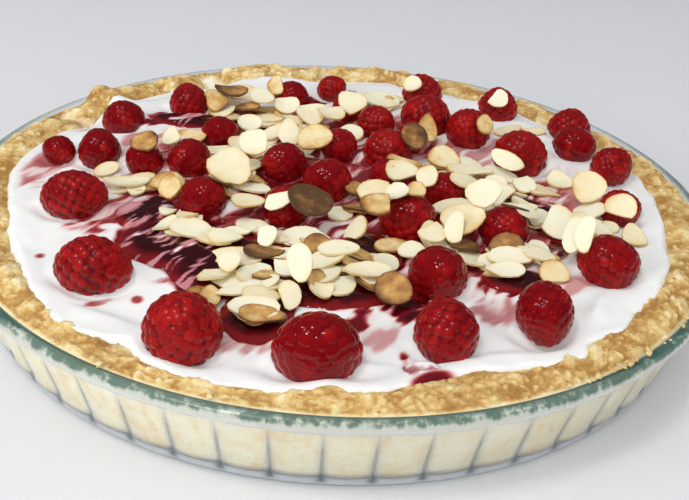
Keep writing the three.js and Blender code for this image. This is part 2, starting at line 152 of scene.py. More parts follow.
def pick(piece):
    """Selects this piece alone, and makes it the active one."""
    bare_selection()
    piece.select_set(True)
    bpy.context.view_layer.objects.active = piece


def take_pattern():
    """Points and faces of the piece just made, which is then removed."""
    pattern = bpy.context.active_object
    points = points_of(pattern) * MM
    faces = [list(face.vertices) for face in pattern.data.polygons]
    bpy.data.objects.remove(pattern)
    return points, faces


def mesh_piece(name, points, faces):
    """A piece from points in mm, and for each face the numbers of its points."""
    mesh = bpy.data.meshes.new(name)
    mesh.from_pydata(points * MM, [], faces)
    piece = bpy.data.objects.new(name, mesh)
    bpy.context.scene.collection.objects.link(piece)
    return piece


def select_points(piece, mask):
    """Selects the masked points and goes into edit mode."""
    pick(piece)
    bpy.ops.object.mode_set(mode="EDIT")
    bpy.ops.mesh.select_mode(type="VERT")
    bpy.ops.mesh.select_all(action="DESELECT")
    bpy.ops.object.mode_set(mode="OBJECT")
    piece.data.vertices.foreach_set("select", np.asarray(mask, bool))
    bpy.ops.object.mode_set(mode="EDIT")


def weld(piece):
    """Merges points that meet, and turns all faces outwards."""
    select_points(piece, np.ones(len(piece.data.vertices), bool))
    bpy.ops.mesh.remove_doubles(threshold=1e-6)
    bpy.ops.mesh.normals_make_consistent(inside=False)
    bpy.ops.object.mode_set(mode="OBJECT")


def turned_sheet(name, around, rows, place, spread=None):
    """A flat grid bent round the Z axis until its ends meet. place takes each point's
    bearing in radians and its row, and gives its radius and height in mm. spread may
    crowd the bearings where the shape is finest."""
    bare_selection()
    bpy.ops.mesh.primitive_grid_add(x_subdivisions=around, y_subdivisions=rows - 1, size=2)
    sheet = bpy.context.active_object
    sheet.name = name
    flat = points_of(sheet) * MM
    step = np.rint((flat[:, 0] + 1) / 2 * around).astype(int) % around
    bearing = 2 * np.pi * step / around
    if spread:
        bearing = spread(bearing)
    row = np.rint((flat[:, 1] + 1) / 2 * (rows - 1)).astype(int)
    radius, height = place(bearing, row)
    move_points(sheet, np.column_stack([radius * np.sin(bearing), -radius * np.cos(bearing), height]))
    note(sheet, "row", row)
    weld(sheet)
    return sheet


def bearing_of(x, y):
    """0 at the front of the tart, and growing to the right."""
    return np.arctan2(x, -y)


def finish_piece(piece, material, slot, *nodes):
    """Gives a finished piece its material, its body and the CAD nodes that it stands for."""
    piece.data.materials.clear()
    piece.data.materials.append(material)
    piece.data.polygons.foreach_set("use_smooth", np.ones(len(piece.data.polygons), bool))
    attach(piece, "root")
    if nodes:
        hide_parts(*nodes)
    triangles = sum(len(face.vertices) - 2 for face in piece.data.polygons)
    print(f"{piece.name}: {triangles} triangles")
    return piece


print("a smooth step from 0 to 1:", [round(float(v), 2) for v in ease([0, 0.25, 0.5, 0.75, 1], 0, 1)])

# %% Materials as plain Python
class Wire:
    """A socket that is added, subtracted, multiplied and raised to a power like a number."""

    def __init__(self, recipe, socket):
        self.recipe = recipe
        self.socket = socket

    def maths(self, operation, first, second):
        return self.recipe.node("ShaderNodeMath", {"operation": operation}, {0: first, 1: second})

    def __add__(self, other):
        return self.maths("ADD", self, other)

    def __radd__(self, other):
        return self.maths("ADD", other, self)

    def __sub__(self, other):
        return self.maths("SUBTRACT", self, other)

    def __rsub__(self, other):
        return self.maths("SUBTRACT", other, self)

    def __mul__(self, other):
        return self.maths("MULTIPLY", self, other)

    def __rmul__(self, other):
        return self.maths("MULTIPLY", other, self)

    def __pow__(self, other):
        return self.maths("POWER", self, other)


def set_stops(ramp, stops):
    """Fills a colour ramp with stops of position and red, green and blue."""
    while len(ramp.elements) < len(stops):
        ramp.elements.new(1)
    for element, (position, tint) in zip(ramp.elements, stops):
        element.position = position
        element.color = (*tint, 1)


class Recipe:
    """A material in the making. node() adds one node of any kind and gives back an output."""

    def __init__(self, name):
        self.material = bpy.data.materials.new(name)
        self.material.use_nodes = True
        self.tree = self.material.node_tree
        self.shader = self.tree.nodes["Principled BSDF"]
        self.surface = Wire(self, self.shader.outputs[0])
        self.place = self.node("ShaderNodeTexCoord", output="Object")

    def put(self, socket, value):
        if isinstance(value, Wire):
            self.tree.links.new(value.socket, socket)
        else:
            socket.default_value = value

    def node(self, kind, settings=None, sockets=None, output=0):
        made = self.tree.nodes.new(kind)
        for key, value in (settings or {}).items():
            if key == "stops":
                set_stops(made.color_ramp, value)
            else:
                setattr(made, key, value)
        for key, value in (sockets or {}).items():
            self.put(made.inputs[key], value)
        return Wire(self, made.outputs[output])

    def ramp(self, share, stops):
        return self.node("ShaderNodeValToRGB", {"stops": stops}, {"Fac": share})

    def noise(self, size, detail=2.0, roughness=0.5, stretch=(1, 1, 1)):
        """Noise from 0 to 1 whose lumps are about size mm, drawn out along an axis where
        stretch is more than 1."""
        scales = tuple(1 / (size * MM * longer) for longer in stretch)
        place = self.node("ShaderNodeVectorMath", {"operation": "MULTIPLY"}, {0: self.place, 1: scales})
        sockets = {"Vector": place, "Scale": 1.0, "Detail": detail, "Roughness": roughness}
        return self.node("ShaderNodeTexNoise", None, sockets, "Fac")

    def noted(self, name):
        return self.node("ShaderNodeAttribute", {"attribute_name": name}, None, "Fac")

    def blend(self, share, first, second):
        """From the first colour to the second; a Mix node has its colours on 6 and 7."""
        return self.node("ShaderNodeMix", {"data_type": "RGBA"}, {0: share, 6: first, 7: second}, 2)

    def between(self, wire, low=0.0, high=1.0):
        """0 where the wire is below low, 1 above high, and a smooth step between."""
        sockets = {"Value": wire, "From Min": low, "From Max": high}
        return self.node("ShaderNodeMapRange", {"interpolation_type": "SMOOTHSTEP"}, sockets)

    def bump(self, height, strength, distance):
        sockets = {"Height": height, "Strength": strength, "Distance": distance * MM}
        self.put(self.shader.inputs["Normal"], self.node("ShaderNodeBump", None, sockets))

    def set(self, **sockets):
        """Sets the shader's sockets: base_color=... is the socket Base Color."""
        names = {name.lower().replace(" ", "_"): name for name in self.shader.inputs.keys()}
        for key, value in sockets.items():
            self.put(self.shader.inputs[names[key]], value)

    def lay_over(self, share, sockets):
        """A second finish over the first, which shows where the share is more than 0."""
        second = self.node("ShaderNodeBsdfPrincipled", None, sockets)
        self.surface = self.node("ShaderNodeMixShader", None, {0: share, 1: self.surface, 2: second})

    def let_lamps_through(self, tint):
        """Lets light from the lamps reach what is behind glass, as real glass does."""
        clear = self.node("ShaderNodeBsdfTransparent", None, {"Color": tint})
        is_shadow = self.node("ShaderNodeLightPath", output="Is Shadow Ray")
        mixed = self.node("ShaderNodeMixShader", None, {0: is_shadow, 1: self.surface, 2: clear})
        self.put(self.tree.nodes["Material Output"].inputs["Surface"], mixed)


def colour(red, green, blue):
    return (red, green, blue, 1)


print("white that hides what is behind it is", colour(1, 1, 1))

# %% [markdown]
# ## Room
# The tart stands on a plain pale surface in soft daylight. One lamp high above on the left
# makes the small bright spots on wet fruit. Four wide weak ones and the pale world open
# the shadows, and aren't mirrored. A ring of small lamps would print a ring of dots on
# each berry, which daylight doesn't do.

# %% Floor and light
FLOOR_SIZE = 8000

bare_selection()
bpy.ops.mesh.primitive_plane_add(size=FLOOR_SIZE * MM)
floor = bpy.context.active_object
floor.name = "floor"
paper = Recipe("pale_floor")
paper.set(base_color=colour(0.70, 0.705, 0.73), roughness=0.9)
floor.data.materials.append(paper.material)
floor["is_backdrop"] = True


def soft_light(name, place, aim, size, power, tint, mirrored=True):
    lamp = bpy.data.objects.new(name, bpy.data.lights.new(name, "AREA"))
    lamp.data.shape = "RECTANGLE"
    lamp.data.size, lamp.data.size_y = (side * MM for side in size)
    lamp.data.energy = power
    lamp.data.color = tint
    lamp.visible_glossy = mirrored
    spot = Vector(place) * MM
    lamp.location = spot
    lamp.rotation_euler = (Vector(aim) * MM - spot).to_track_quat("-Z", "Y").to_euler()
    bpy.context.scene.collection.objects.link(lamp)


soft_light("window", (-380, -260, 1150), (0, 0, 30), (240, 180), 3.6, (1.0, 0.985, 0.965))
soft_light("overhead", (-200, -100, 1200), (0, 0, 30), (1200, 900), 1.2, (1.0, 0.99, 0.97), False)
soft_light("left_fill", (-900, -450, 500), (0, 0, 20), (700, 500), 4.2, (1.0, 0.99, 0.97), False)
soft_light("front_fill", (-200, -1000, 520), (0, 0, 20), (1000, 600), 4.6, (1.0, 0.985, 0.96), False)
soft_light("side_fill", (900, -250, 450), (0, 0, 20), (600, 500), 2.2, (1.0, 0.985, 0.96), False)
print("lamps:", [lamp.name for lamp in bpy.data.lights])

# %% Sky
# Brighter overhead than at the horizon, by the height of the direction that is looked in.
# What the wet fruit mirrors is the darker room, so the sky is dimmed for reflections.
SKY = [(0.0, 0.42), (0.45, 0.48), (0.75, 0.64), (1.0, 0.9)]
SKY_TINT = (0.92, 0.96, 1.0)
SKY_STRENGTH = 0.74
DIMMED_IN_GLOSS = 0.72

world = bpy.data.worlds.new("daylight")
world.use_nodes = True
sky = world.node_tree
direction = sky.nodes.new("ShaderNodeTexCoord")
split = sky.nodes.new("ShaderNodeSeparateXYZ")
fade = sky.nodes.new("ShaderNodeValToRGB")
set_stops(fade.color_ramp, [(height, [light * tint for tint in SKY_TINT]) for height, light in SKY])
sky.links.new(direction.outputs["Generated"], split.inputs[0])
sky.links.new(split.outputs["Z"], fade.inputs["Fac"])
sky.links.new(fade.outputs["Color"], sky.nodes["Background"].inputs["Color"])
ray = sky.nodes.new("ShaderNodeLightPath")
strength = sky.nodes.new("ShaderNodeMath")
strength.operation = "MULTIPLY_ADD"
strength.inputs[1].default_value = -DIMMED_IN_GLOSS * SKY_STRENGTH
strength.inputs[2].default_value = SKY_STRENGTH
sky.links.new(ray.outputs["Is Glossy Ray"], strength.inputs[0])
sky.links.new(strength.outputs[0], sky.nodes["Background"].inputs["Strength"])
bpy.context.scene.world = world
bpy.context.scene.view_settings.view_transform = "Standard"
print("the sky's strength is", SKY_STRENGTH, "and", round(SKY_STRENGTH * (1 - DIMMED_IN_GLOSS), 3),
      "in reflections")

# %% [markdown]
# ## Glass dish
# The real dish is pressed glass: a smooth inside, an outside with shallow upright flutes,
# and a thick flange whose edge looks green, because light runs a long way through the
# glass there. Here that green, and the dark and pale lines that refraction and reflection
# draw in the glass, are painted on as an opaque finish. The dish could keep its faceted
# CAD shape, but glass shows every facet. So a strip of many small faces is bent round on
# the same profile, with eased corners, and the flutes are cut as round lobes with a crease
# between them. Points are crowded at the creases, where the glass turns sharply.

# %% Profile of the dish
FLANGE_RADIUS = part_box("glass_dish")[1].x / MM
DISH_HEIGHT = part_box("glass_dish")[1].z / MM
FLANGE_BOTTOM = DISH_HEIGHT - 4
WALL_TOP = FLANGE_BOTTOM - 2
FOOT_RADIUS = FLANGE_RADIUS - 10
WALL_TOP_RADIUS = FLANGE_RADIUS - 3.2
FOOT_ROUND = 2
GLASS = 3.3
FLOOR_GLASS = 3.2
FLUTES = 54
FLUTE_DEPTH = 1.3
POINTS_PER_FLUTE = 18
LONGEST_STEP = 8                      # between two rows of the profile
WALL_SLOPE = (WALL_TOP_RADIUS - FOOT_RADIUS) / (WALL_TOP - FOOT_ROUND)


def inner_wall(height):
    """Radius of the glass wall's inside at one height."""
    return FOOT_RADIUS - GLASS + WALL_SLOPE * (height - FOOT_ROUND)


def eased_line(corners, reach=1.2, steps=4):
    """A line through the corners with each inner corner rounded off."""
    corners = [np.array(corner, float) for corner in corners]
    line = [corners[0]]
    for before, corner, after in zip(corners, corners[1:], corners[2:]):
        into, out = before - corner, after - corner
        start = corner + into * min(0.45, reach / np.linalg.norm(into[:2]))
        end = corner + out * min(0.45, reach / np.linalg.norm(out[:2]))
        for step in np.linspace(0, 1, steps):
            line.append((1 - step) ** 2 * start + 2 * step * (1 - step) * corner + step ** 2 * end)
    line.append(corners[-1])
    return np.array(line)


def with_steps(line, longest):
    """The same line with extra points, so that no step is longer than that."""
    points = [line[0]]
    for before, after in zip(line, line[1:]):
        parts = max(1, math.ceil(np.linalg.norm((after - before)[:2]) / longest))
        points += [before + (after - before) * part / parts for part in range(1, parts + 1)]
    return np.array(points)


shoulder = FLANGE_BOTTOM - 3
dish_corners = [                      # radius, height, share of the flutes' depth
    (0, 0, 0),
    (FOOT_RADIUS - 14, 0, 0),
    (FOOT_RADIUS - 1, 0, 0),
    (FOOT_RADIUS, FOOT_ROUND, 0.25),
    (FOOT_RADIUS + WALL_SLOPE * 4, FOOT_ROUND + 4, 1),
    (WALL_TOP_RADIUS, WALL_TOP, 1),
    (FLANGE_RADIUS - 0.2, FLANGE_BOTTOM, 0),
    (FLANGE_RADIUS, DISH_HEIGHT - 1, 0),
    (FLANGE_RADIUS - 3.4, DISH_HEIGHT, 0),
    (inner_wall(shoulder), shoulder, 0),
    (inner_wall(FLOOR_GLASS) - 1, FLOOR_GLASS, 0),
    (0, FLOOR_GLASS, 0),
]
dish_line = with_steps(eased_line(dish_corners), LONGEST_STEP)
print(len(dish_line), "rows in the dish's profile")

# %% The dish itself
CROWDING = 0.6                        # 0 for even steps round the dish
CREASE_FLOOR = 0.003                  # keeps the bottom of a crease from being a sharp cut
LOBE_POWER = 0.33                     # less is a fuller lobe and a narrower crease


def crowd_at_creases(bearing):
    return bearing - CROWDING * np.sin(FLUTES * bearing) / FLUTES


def dish_place(bearing, row):
    radius, height, fluted = dish_line[row].T
    lobe = (np.sin(FLUTES / 2 * bearing) ** 2 + CREASE_FLOOR) ** LOBE_POWER
    return radius - FLUTE_DEPTH * fluted * (1 - np.minimum(lobe, 1)), height


around = POINTS_PER_FLUTE * FLUTES
dish = turned_sheet("flan_dish", around, len(dish_line), dish_place, crowd_at_creases)
print(len(dish.data.vertices), "points in the dish")

# %% Painted refraction and reflection on the glass
# The glass is clear; where the real dish shows refraction and reflection, those looks are
# painted on: dark lines in the creases, at the base and at the flange's inner edge, a pale
# foot and fillet, and a mottled green flange.
points = points_of(dish)
x, y, z = points.T
radius = np.hypot(x, y)
half_flute = np.pi / FLUTES
from_crease = np.abs((bearing_of(x, y) + 4 * np.pi + half_flute) % (2 * half_flute) - half_flute) * radius
outside = noted(dish, "row") < np.argmax(dish_line[:, 0]) + 3
crease_width = 1.6 - 0.045 * z
on_wall = outside * ease(z, 0.8, 2.5) * (1 - ease(z, 20.5, 23.2))
crease = on_wall * np.exp(-((from_crease / crease_width) ** 2))
foot = outside * (1 - ease(z, 2.6, 5.4)) * ease(radius, 109, 113.5)
base_line = outside * (1 - ease(z, 0.5, 1.3)) * ease(radius, 112.5, 114)
flange = ease(z, FLANGE_BOTTOM + 1.2, FLANGE_BOTTOM + 2.3) * ease(radius, 121.0, 121.8)
inner_edge = flange * ease(z, DISH_HEIGHT - 1.2, DISH_HEIGHT - 0.2) * (1 - ease(radius, 122.4, 123.8))
fillet = outside * np.exp(-(((z - FLANGE_BOTTOM - 0.5) / 1.05) ** 2))
streaky = 0.4 * np.exp(-((np.degrees(bearing_of(x, y)) / 26) ** 2))      # most so at the front
streaky += outside * (1 - ease(z, FLANGE_BOTTOM + 1.8, FLANGE_BOTTOM + 3.2))    # and lower down
painted_glass_masks = {"crease": crease, "foot": foot, "base_line": base_line, "flange": flange,
            "inner_edge": inner_edge, "fillet": fillet, "streaky": streaky}
for name, share in painted_glass_masks.items():
    note(dish, name, share)

# How much painted refraction and reflection each of them gets, and the share of that which
# it keeps at the back of the dish.
PAINTED_GLASS_SHARES = {
    "flange": (0.84, 0), "inner_edge": (0.90, 0), "fillet": (0.72, 0),
    "crease": (0.62, 0.3), "foot": (0.68, 0.3), "base_line": (0.80, 0.3),
}
facing_on = 0.06 + 0.94 * ease(-y / np.maximum(radius, 0.001), -0.6, 0.15)
milky = np.max([most * painted_glass_masks[name] * (kept + (1 - kept) * facing_on)
                for name, (most, kept) in PAINTED_GLASS_SHARES.items()], axis=0)
note(dish, "milky", milky)
print(f"{(milky > 0.1).mean():.0%} of the dish's points hold light")

# %% Glass
# Painted refraction and reflection: a mottled green on the flange, dark creases, base line and inner edge,
# and a pale foot and fillet, laid over the clear glass as an opaque finish.
glass = Recipe("pressed_glass")
mottle = 0.55 * glass.noise(6, 2, 0.6, stretch=(1, 1, 4))
mottle = mottle + 0.45 * glass.noise(1.5, 2, 0.6, stretch=(1, 1, 8)) + 0.15 * glass.noted("streaky")
painted_flange_green = glass.ramp(glass.between(mottle, 0.42, 0.68), [
    (0.0, (0.030, 0.115, 0.10)),
    (0.4, (0.065, 0.155, 0.13)),
    (0.7, (0.22, 0.29, 0.25)),
    (1.0, (0.50, 0.55, 0.49)),
])
painted_glass_colour = glass.blend(glass.noted("crease"), colour(0.70, 0.72, 0.77), colour(0.13, 0.17, 0.18))
painted_glass_colour = glass.blend(glass.noted("base_line"), painted_glass_colour, colour(0.12, 0.14, 0.15))
painted_glass_colour = glass.blend(glass.noted("fillet"), painted_glass_colour, colour(0.58, 0.65, 0.73))
painted_glass_colour = glass.blend(glass.noted("flange"), painted_glass_colour, painted_flange_green)
painted_glass_colour = glass.blend(glass.noted("inner_edge"), painted_glass_colour, colour(0.03, 0.09, 0.07))
glass.set(base_color=colour(0.97, 0.99, 0.985), roughness=0.02, transmission_weight=1.0, ior=1.5)
glass.lay_over(glass.noted("milky"), {"Base Color": painted_glass_colour, "Roughness": 0.3})
inside_glass = glass.node("ShaderNodeVolumeAbsorption", None,
                          {"Color": colour(0.35, 0.70, 0.66), "Density": 2.5}, "Volume")
glass.put(glass.tree.nodes["Material Output"].inputs["Volume"], inside_glass)
glass.let_lamps_through(colour(0.95, 0.97, 0.96))
finish_piece(dish, glass.material, "glass", "glass_dish")

# %% [markdown]
# ## Heights that the food shares
# The crust's rim, the cream's surface and the jam's pools are each a height that is known
# at every place. Written once as functions, they let each piece be laid on the one below
# it. Measuring the surfaces by casting rays would work too, but only after they exist.

# %% Rim of the crust
CRUST_OUTER_EDGE = 120.5
CRUST_CREST = 113.0
CRUST_INNER_EDGE = 107.0
CRUST_INNER_FOOT = 100.5
CREST_HEIGHT = 31.4
CREST_LEAN = 0.9
CREST_OVER_EDGE = 1.7
RIM_SHIFT = 1.8

# Uneven places in the rim: bearing, change of height, lean outwards, half width in degrees.
RIM_FEATURES = [
    (-126, 4.2, 3, 3), (-116, -1.6, -2, 4), (-150, -2.4, 0, 4.5), (-172, -1, -2, 5),
    (163, -2.2, -2, 4), (150, -1.4, 0, 4), (118, -1.8, -1, 6), (0, 0.5, -2, 3.5),
    (21, 1.2, -3.5, 6), (44, 0.5, -2.5, 8), (64, 0.3, -2, 9), (-18, -0.3, 2, 14),
    (-45, -0.2, 1.5, 9), (-75, 0.4, -2.5, 9),
]


def degrees_from(centre, bearing):
    """How far a bearing in radians lies from a centre in degrees, from -180 to 180."""
    return (np.degrees(bearing) - centre + 180) % 360 - 180


def rim_at(bearing):
    """The rim's crest and inner edge, each as radius and height."""
    front = np.cos(bearing)
    rise = 0.5 * np.sin(7 * bearing + 1) + 0.4 * np.sin(13 * bearing) - CREST_LEAN * front
    outward = 0.8 * np.sin(5 * bearing + 2) + 0.6 * np.sin(11 * bearing + 0.7) + RIM_SHIFT * front
    for centre, height, shift, half in RIM_FEATURES:
        share = np.exp(-((degrees_from(centre, bearing) / half) ** 2))
        rise = rise + height * share
        outward = outward + shift * share
    crest = (CRUST_CREST + outward, CREST_HEIGHT + rise)
    inner = (CRUST_INNER_EDGE + 0.8 * outward, CREST_HEIGHT + rise - CREST_OVER_EDGE)
    return crest, inner


print("the rim's crest at the front is at", [round(float(v), 1) for v in rim_at(0.0)[0]], "mm")

# %% Surface of the cream
CREAM_LEVEL = 31.2
CREAM_DOME = 1.0
CREAM_LEAN = 0.018
CREAM_SHOULDER = 90.0
CREAM_EDGE_FALL = 0.9
CREAM_SWELL = 0.7


def cream_top(x, y):
    radius = np.hypot(x, y)
    dome = CREAM_DOME * np.maximum(0, 1 - (radius / CREAM_SHOULDER) ** 2)
    fall = CREAM_EDGE_FALL * ease(radius, CREAM_SHOULDER, CRUST_INNER_EDGE)
    swell = CREAM_SWELL * np.sin(x / 13 + 1) * np.sin(y / 17 - 0.6)
    return CREAM_LEVEL + dome + CREAM_LEAN * y - fall + swell


print("the cream is", round(float(cream_top(0, 0)), 1), "mm high in the middle")

# %% Pools of jam
# Each pool is a few overlapping rounds of x, y and half widths along x and y.
JAM_POOLS = {
    "jam_middle": [(-47, -42, 19, 17), (-30, -54, 20, 17), (-60, -26, 9, 12),
                   (0, -63, 22, 12), (-20, -79, 10, 14), (9, -44, 12, 13)],
    "jam_right": [(58, -10, 16, 9), (44, -17, 9, 8), (72, -20, 9, 9)],
    "jam_back": [(-52, 46, 19, 7)],
    "jam_spot": [(54, -53, 10, 6)],
    "jam_drop": [(25, -99.5, 5, 3.2)],
}


def in_round(ring, x, y):
    """1 at the middle of a round, 0 on its edge, and less than 0 outside."""
    centre_x, centre_y, half_x, half_y = ring
    return 1 - np.hypot((x - centre_x) / half_x, (y - centre_y) / half_y)


def in_pool(name, x, y):
    return np.max([in_round(ring, x, y) for ring in JAM_POOLS[name]], axis=0)


def in_jam(x, y):
    return np.max([in_pool(name, x, y) for name in JAM_POOLS], axis=0)


print(len(JAM_POOLS), "pools of jam, of", sum(map(len, JAM_POOLS.values())), "rounds")

# %% [markdown]
# ## Crust
# Shortcrust breaks rather than folds: its rim is a row of soft lumps with crumbly hollows
# between them, and it fills the dish right up to the glass. Two sizes of raised cells and
# some rough noise, pushed out along the surface, give that, and the hollows are painted
# darker and browner as painted shade. Sculpting it by hand would look as good, but couldn't
# be repeated. The wall and the base reach a hair into the glass, because an air gap there
# would shine like a mirror. At the back the rim has broken away in places, which are short
# notches cut into its height.

# %% Dough
GLASS_BITE = 0.25                     # how far the dough reaches into the glass
CRUST_BASE_TOP = FLOOR_GLASS + 4.8
CRUST_AROUND = 1240

# Notches where the rim broke away: bearing, depth, half width in degrees.
RIM_BREAKS = [
    (-117, 1.6, 1.0), (-139.5, 2.4, 1.4), (-151, 3.8, 2.3), (-176, 2.6, 1.6), (162.7, 3.6, 2.1),
    (146, 3.0, 2.6), (128, 2.8, 3.4), (117, 2.8, 2.2), (112.5, 2.4, 1.2), (104.8, 2.0, 0.9),
    (101, 2.2, 1.2), (-29.5, 0.9, 1.6), (17.5, 0.8, 1.6),
]


def glass_inside(height):
    """Just inside the glass wall, which leans in a little further towards its floor."""
    return inner_wall(height) - (shoulder - height) / (shoulder - FLOOR_GLASS) + GLASS_BITE


def crust_corners(bearing):
    """The crust's cross-section at each bearing, from the underside's middle, up the wall,
    over the rim and back along the inside."""
    crest, inner = rim_at(bearing)
    broken = 0
    for centre, depth, half in RIM_BREAKS:
        broken = broken + depth * np.exp(-((degrees_from(centre, bearing) / half) ** 4))
    crest, inner = (crest[0], crest[1] - broken), (inner[0], inner[1] - 0.6 * broken)
    steady = np.ones_like(bearing)
    base = FLOOR_GLASS - GLASS_BITE
    foot = glass_inside(FLOOR_GLASS)
    corners = [
        (0, base), (foot - 3, base), (foot - 0.1, base + 0.05),
        (glass_inside(8.5), 8.5), (glass_inside(shoulder), shoulder), (121.2, 27.8),
        (CRUST_OUTER_EDGE - 0.9, 29.4), (CRUST_OUTER_EDGE - 3.0, crest[1] - 0.9), crest, inner,
        (inner[0] - 2.2, inner[1] - 5), (CRUST_INNER_FOOT, CRUST_BASE_TOP), (0, CRUST_BASE_TOP),
    ]
    return [(radius * steady, height * steady) for radius, height in corners]


print("the crust's foot is", round(glass_inside(FLOOR_GLASS), 1), "mm from the middle")

# %% Crust in one strip
CRUST_ROWS = [3, 2, 3, 4, 6, 6, 7, 12, 14, 9, 3, 2]    # faces between those corners
crust_steps = np.concatenate(
    [[index + step / parts for step in range(parts)] for index, parts in enumerate(CRUST_ROWS)])
crust_steps = np.append(crust_steps, len(CRUST_ROWS))


def crust_place(bearing, row):
    corners = np.array(crust_corners(bearing))          # corner, radius or height, point
    step = crust_steps[row]
    first = np.minimum(step.astype(int), len(CRUST_ROWS) - 1)
    share = step - first
    column = np.arange(len(bearing))
    start, end = corners[first, :, column], corners[first + 1, :, column]
    radius, height = (start + (end - start) * share[:, None]).T
    return radius, height


crust = turned_sheet("shortcrust", CRUST_AROUND, len(crust_steps), crust_place)
row = noted(crust, "row")
rim_start, rim_end = np.cumsum(CRUST_ROWS)[[4, 9]]
crumbly = ease(row, rim_start - 1, rim_start + 4) * (1 - ease(row, rim_end - 2, rim_end + 4))

# The corners of the rim are evened out before the crumb is added.
select_points(crust, (row > rim_start - 2) & (row < rim_end + 2))
bpy.ops.mesh.vertices_smooth(factor=0.5, repeat=8)
bpy.ops.object.mode_set(mode="OBJECT")
print(len(crust_steps), "rows in the crust,", rim_end - rim_start, "of them on the rim")


# %% Crumb on the rim
def raised_cells(points, size, seed):
    """Round nodules of the given size: 1 on top, 0 in the hollows between them."""
    shift = Vector((3.1 * seed, 7.7 * seed, -4.2 * seed))
    gaps = np.array([noise.voronoi(Vector(p) / size + shift)[0][:2] for p in points])
    return ease(gaps[:, 1] - gaps[:, 0], 0, 0.7)


points = points_of(crust)
on_rim = np.flatnonzero(crumbly > 0)
rim_points = points[on_rim]
warped = rim_points + 1.4 * np.column_stack([grain(rim_points, 4.0, seed) for seed in (1, 2, 3)])
large = raised_cells(warped, 8.5, 1)
small = raised_cells(warped, 3.0, 2)
sandy = raised_cells(warped, 1.5, 3)
patchy = ease(grain(rim_points, 12, 7), -0.3, 0.25)      # smooth stretches and crumbly ones
at_back = ease(rim_points[:, 1], 20, 80)
push = (0.75 + 0.5 * at_back) * (large - 0.5) + (0.2 + 0.5 * patchy) * (small - 0.5)
push += (0.16 + 0.16 * patchy) * (sandy - 0.5) + 0.16 * grain(rim_points, 1.3, 5, 2)
push += 0.8 * grain(rim_points, 13, 6)
outwards = vectors_of(crust.data.vertex_normals, "vector")[on_rim]
points[on_rim] += outwards * (crumbly[on_rim] * push)[:, None]
move_points(crust, points)

# Painted shade: hollow is high in the hollows between the lumps, and the finish colours the dough darker
# and browner there.
hollow = np.zeros(len(points))
hollow[on_rim] = crumbly[on_rim] * (1.0 - 0.4 * large - (0.2 + 0.2 * patchy) * small - 0.2 * sandy)
note(crust, "hollow", hollow)
note(crust, "pale", 1 - ease(points[:, 2], 25.5, 28.5))
print("the crumb moves the rim by", round(push.min(), 1), "to", round(push.max(), 1), "mm")

# %% Baked finish
baked = Recipe("baked_shortcrust")
# Where hollow is high the dough is painted darker and browner: painted shade in the rim's hollows.
tone = 0.8 * baked.noise(9, 3, 0.6) + 0.35 * baked.noise(1.5, 4, 0.7) + 0.5 * baked.noted("hollow")
specks = baked.between(baked.noise(2.4, 2, 0.6), 0.62, 0.74)
rim_dough = baked.ramp(baked.between(tone + 0.2 * specks, 0.555, 1.18), [
    (0.0, (0.86, 0.76, 0.50)),
    (0.35, (0.77, 0.61, 0.31)),
    (0.66, (0.67, 0.45, 0.17)),
    (1.0, (0.40, 0.20, 0.05)),
])
crumb_tone = 0.6 * baked.noise(12, 3, 0.6) + 0.4 * baked.noise(3, 3, 0.6, stretch=(1, 1, 3))
wall_dough = baked.ramp(baked.between(crumb_tone, 0.32, 0.68), [
    (0.0, (0.97, 0.93, 0.80)),
    (0.6, (0.95, 0.86, 0.66)),
    (1.0, (0.88, 0.72, 0.47)),
])
baked.set(base_color=baked.blend(baked.noted("pale"), rim_dough, wall_dough), roughness=0.75,
          specular_ior_level=0.25, subsurface_weight=0.1,
          subsurface_radius=(1.0, 0.6, 0.3), subsurface_scale=1.0 * MM)
baked.bump(baked.noise(1.4, 4, 0.7), 0.8, 0.45)
finish_piece(crust, baked.material, "crust", "crust")

# %% Crumbs on the glass
# A few crumbs broke off the rim and lie on the flange, most of them at the front right.
CRUMBS = 44
CRUMB_RADIUS = 120.9                  # innermost place on the flange
CRUMB_BEARINGS = (43, 7)              # middle and spread, in degrees
STRAY_BEARINGS = (10, 60)
STRAY_SHARE = 0.2
crumb_draw = np.random.default_rng(8)

bare_selection()
bpy.ops.mesh.primitive_ico_sphere_add(subdivisions=2, radius=1)
ball, ball_faces = take_pattern()
crumb_points, crumb_faces = [], []
for index in range(CRUMBS):
    stray = crumb_draw.uniform() < STRAY_SHARE
    bearing = math.radians(crumb_draw.normal(*(STRAY_BEARINGS if stray else CRUMB_BEARINGS)))
    size = 0.25 + 0.85 * crumb_draw.uniform() ** 2.5
    radius = CRUMB_RADIUS + 2.0 * crumb_draw.uniform() ** 1.5
    ragged = 1 + 0.7 * grain(2 * ball + 3 * index, 1.3, 3)
    shape = ball * size * crumb_draw.uniform(0.6, 1.5, 3) * ragged[:, None]
    shape[:, 2] *= 0.8
    height = DISH_HEIGHT - shape[:, 2].min() - 0.05
    middle = (radius * math.sin(bearing), -radius * math.cos(bearing), height)
    crumb_faces += [[corner + len(ball) * index for corner in face] for face in ball_faces]
    crumb_points.append(shape + middle)
crumbs = mesh_piece("crumbs", np.concatenate(crumb_points), crumb_faces)
# On the crumbs hollow is only an even mid tone of the dough.
note(crumbs, "hollow", np.full(CRUMBS * len(ball), 0.5))
note(crumbs, "pale", np.zeros(CRUMBS * len(ball)))
finish_piece(crumbs, baked.material, "crust")

# %% [markdown]
# ## Raspberries
# A raspberry is a blunt cone of a hundred or so drupelets, each a small ball that bulges out
# of the core. The balls could be joined with a boolean or a voxel remesh, but both blur
# the creases. Here each point of a fine ball is moved outwards until it lies on the
# outermost drupelet in its direction, which is the exact union of the balls seen from the
# berry's middle, and keeps the creases sharp.

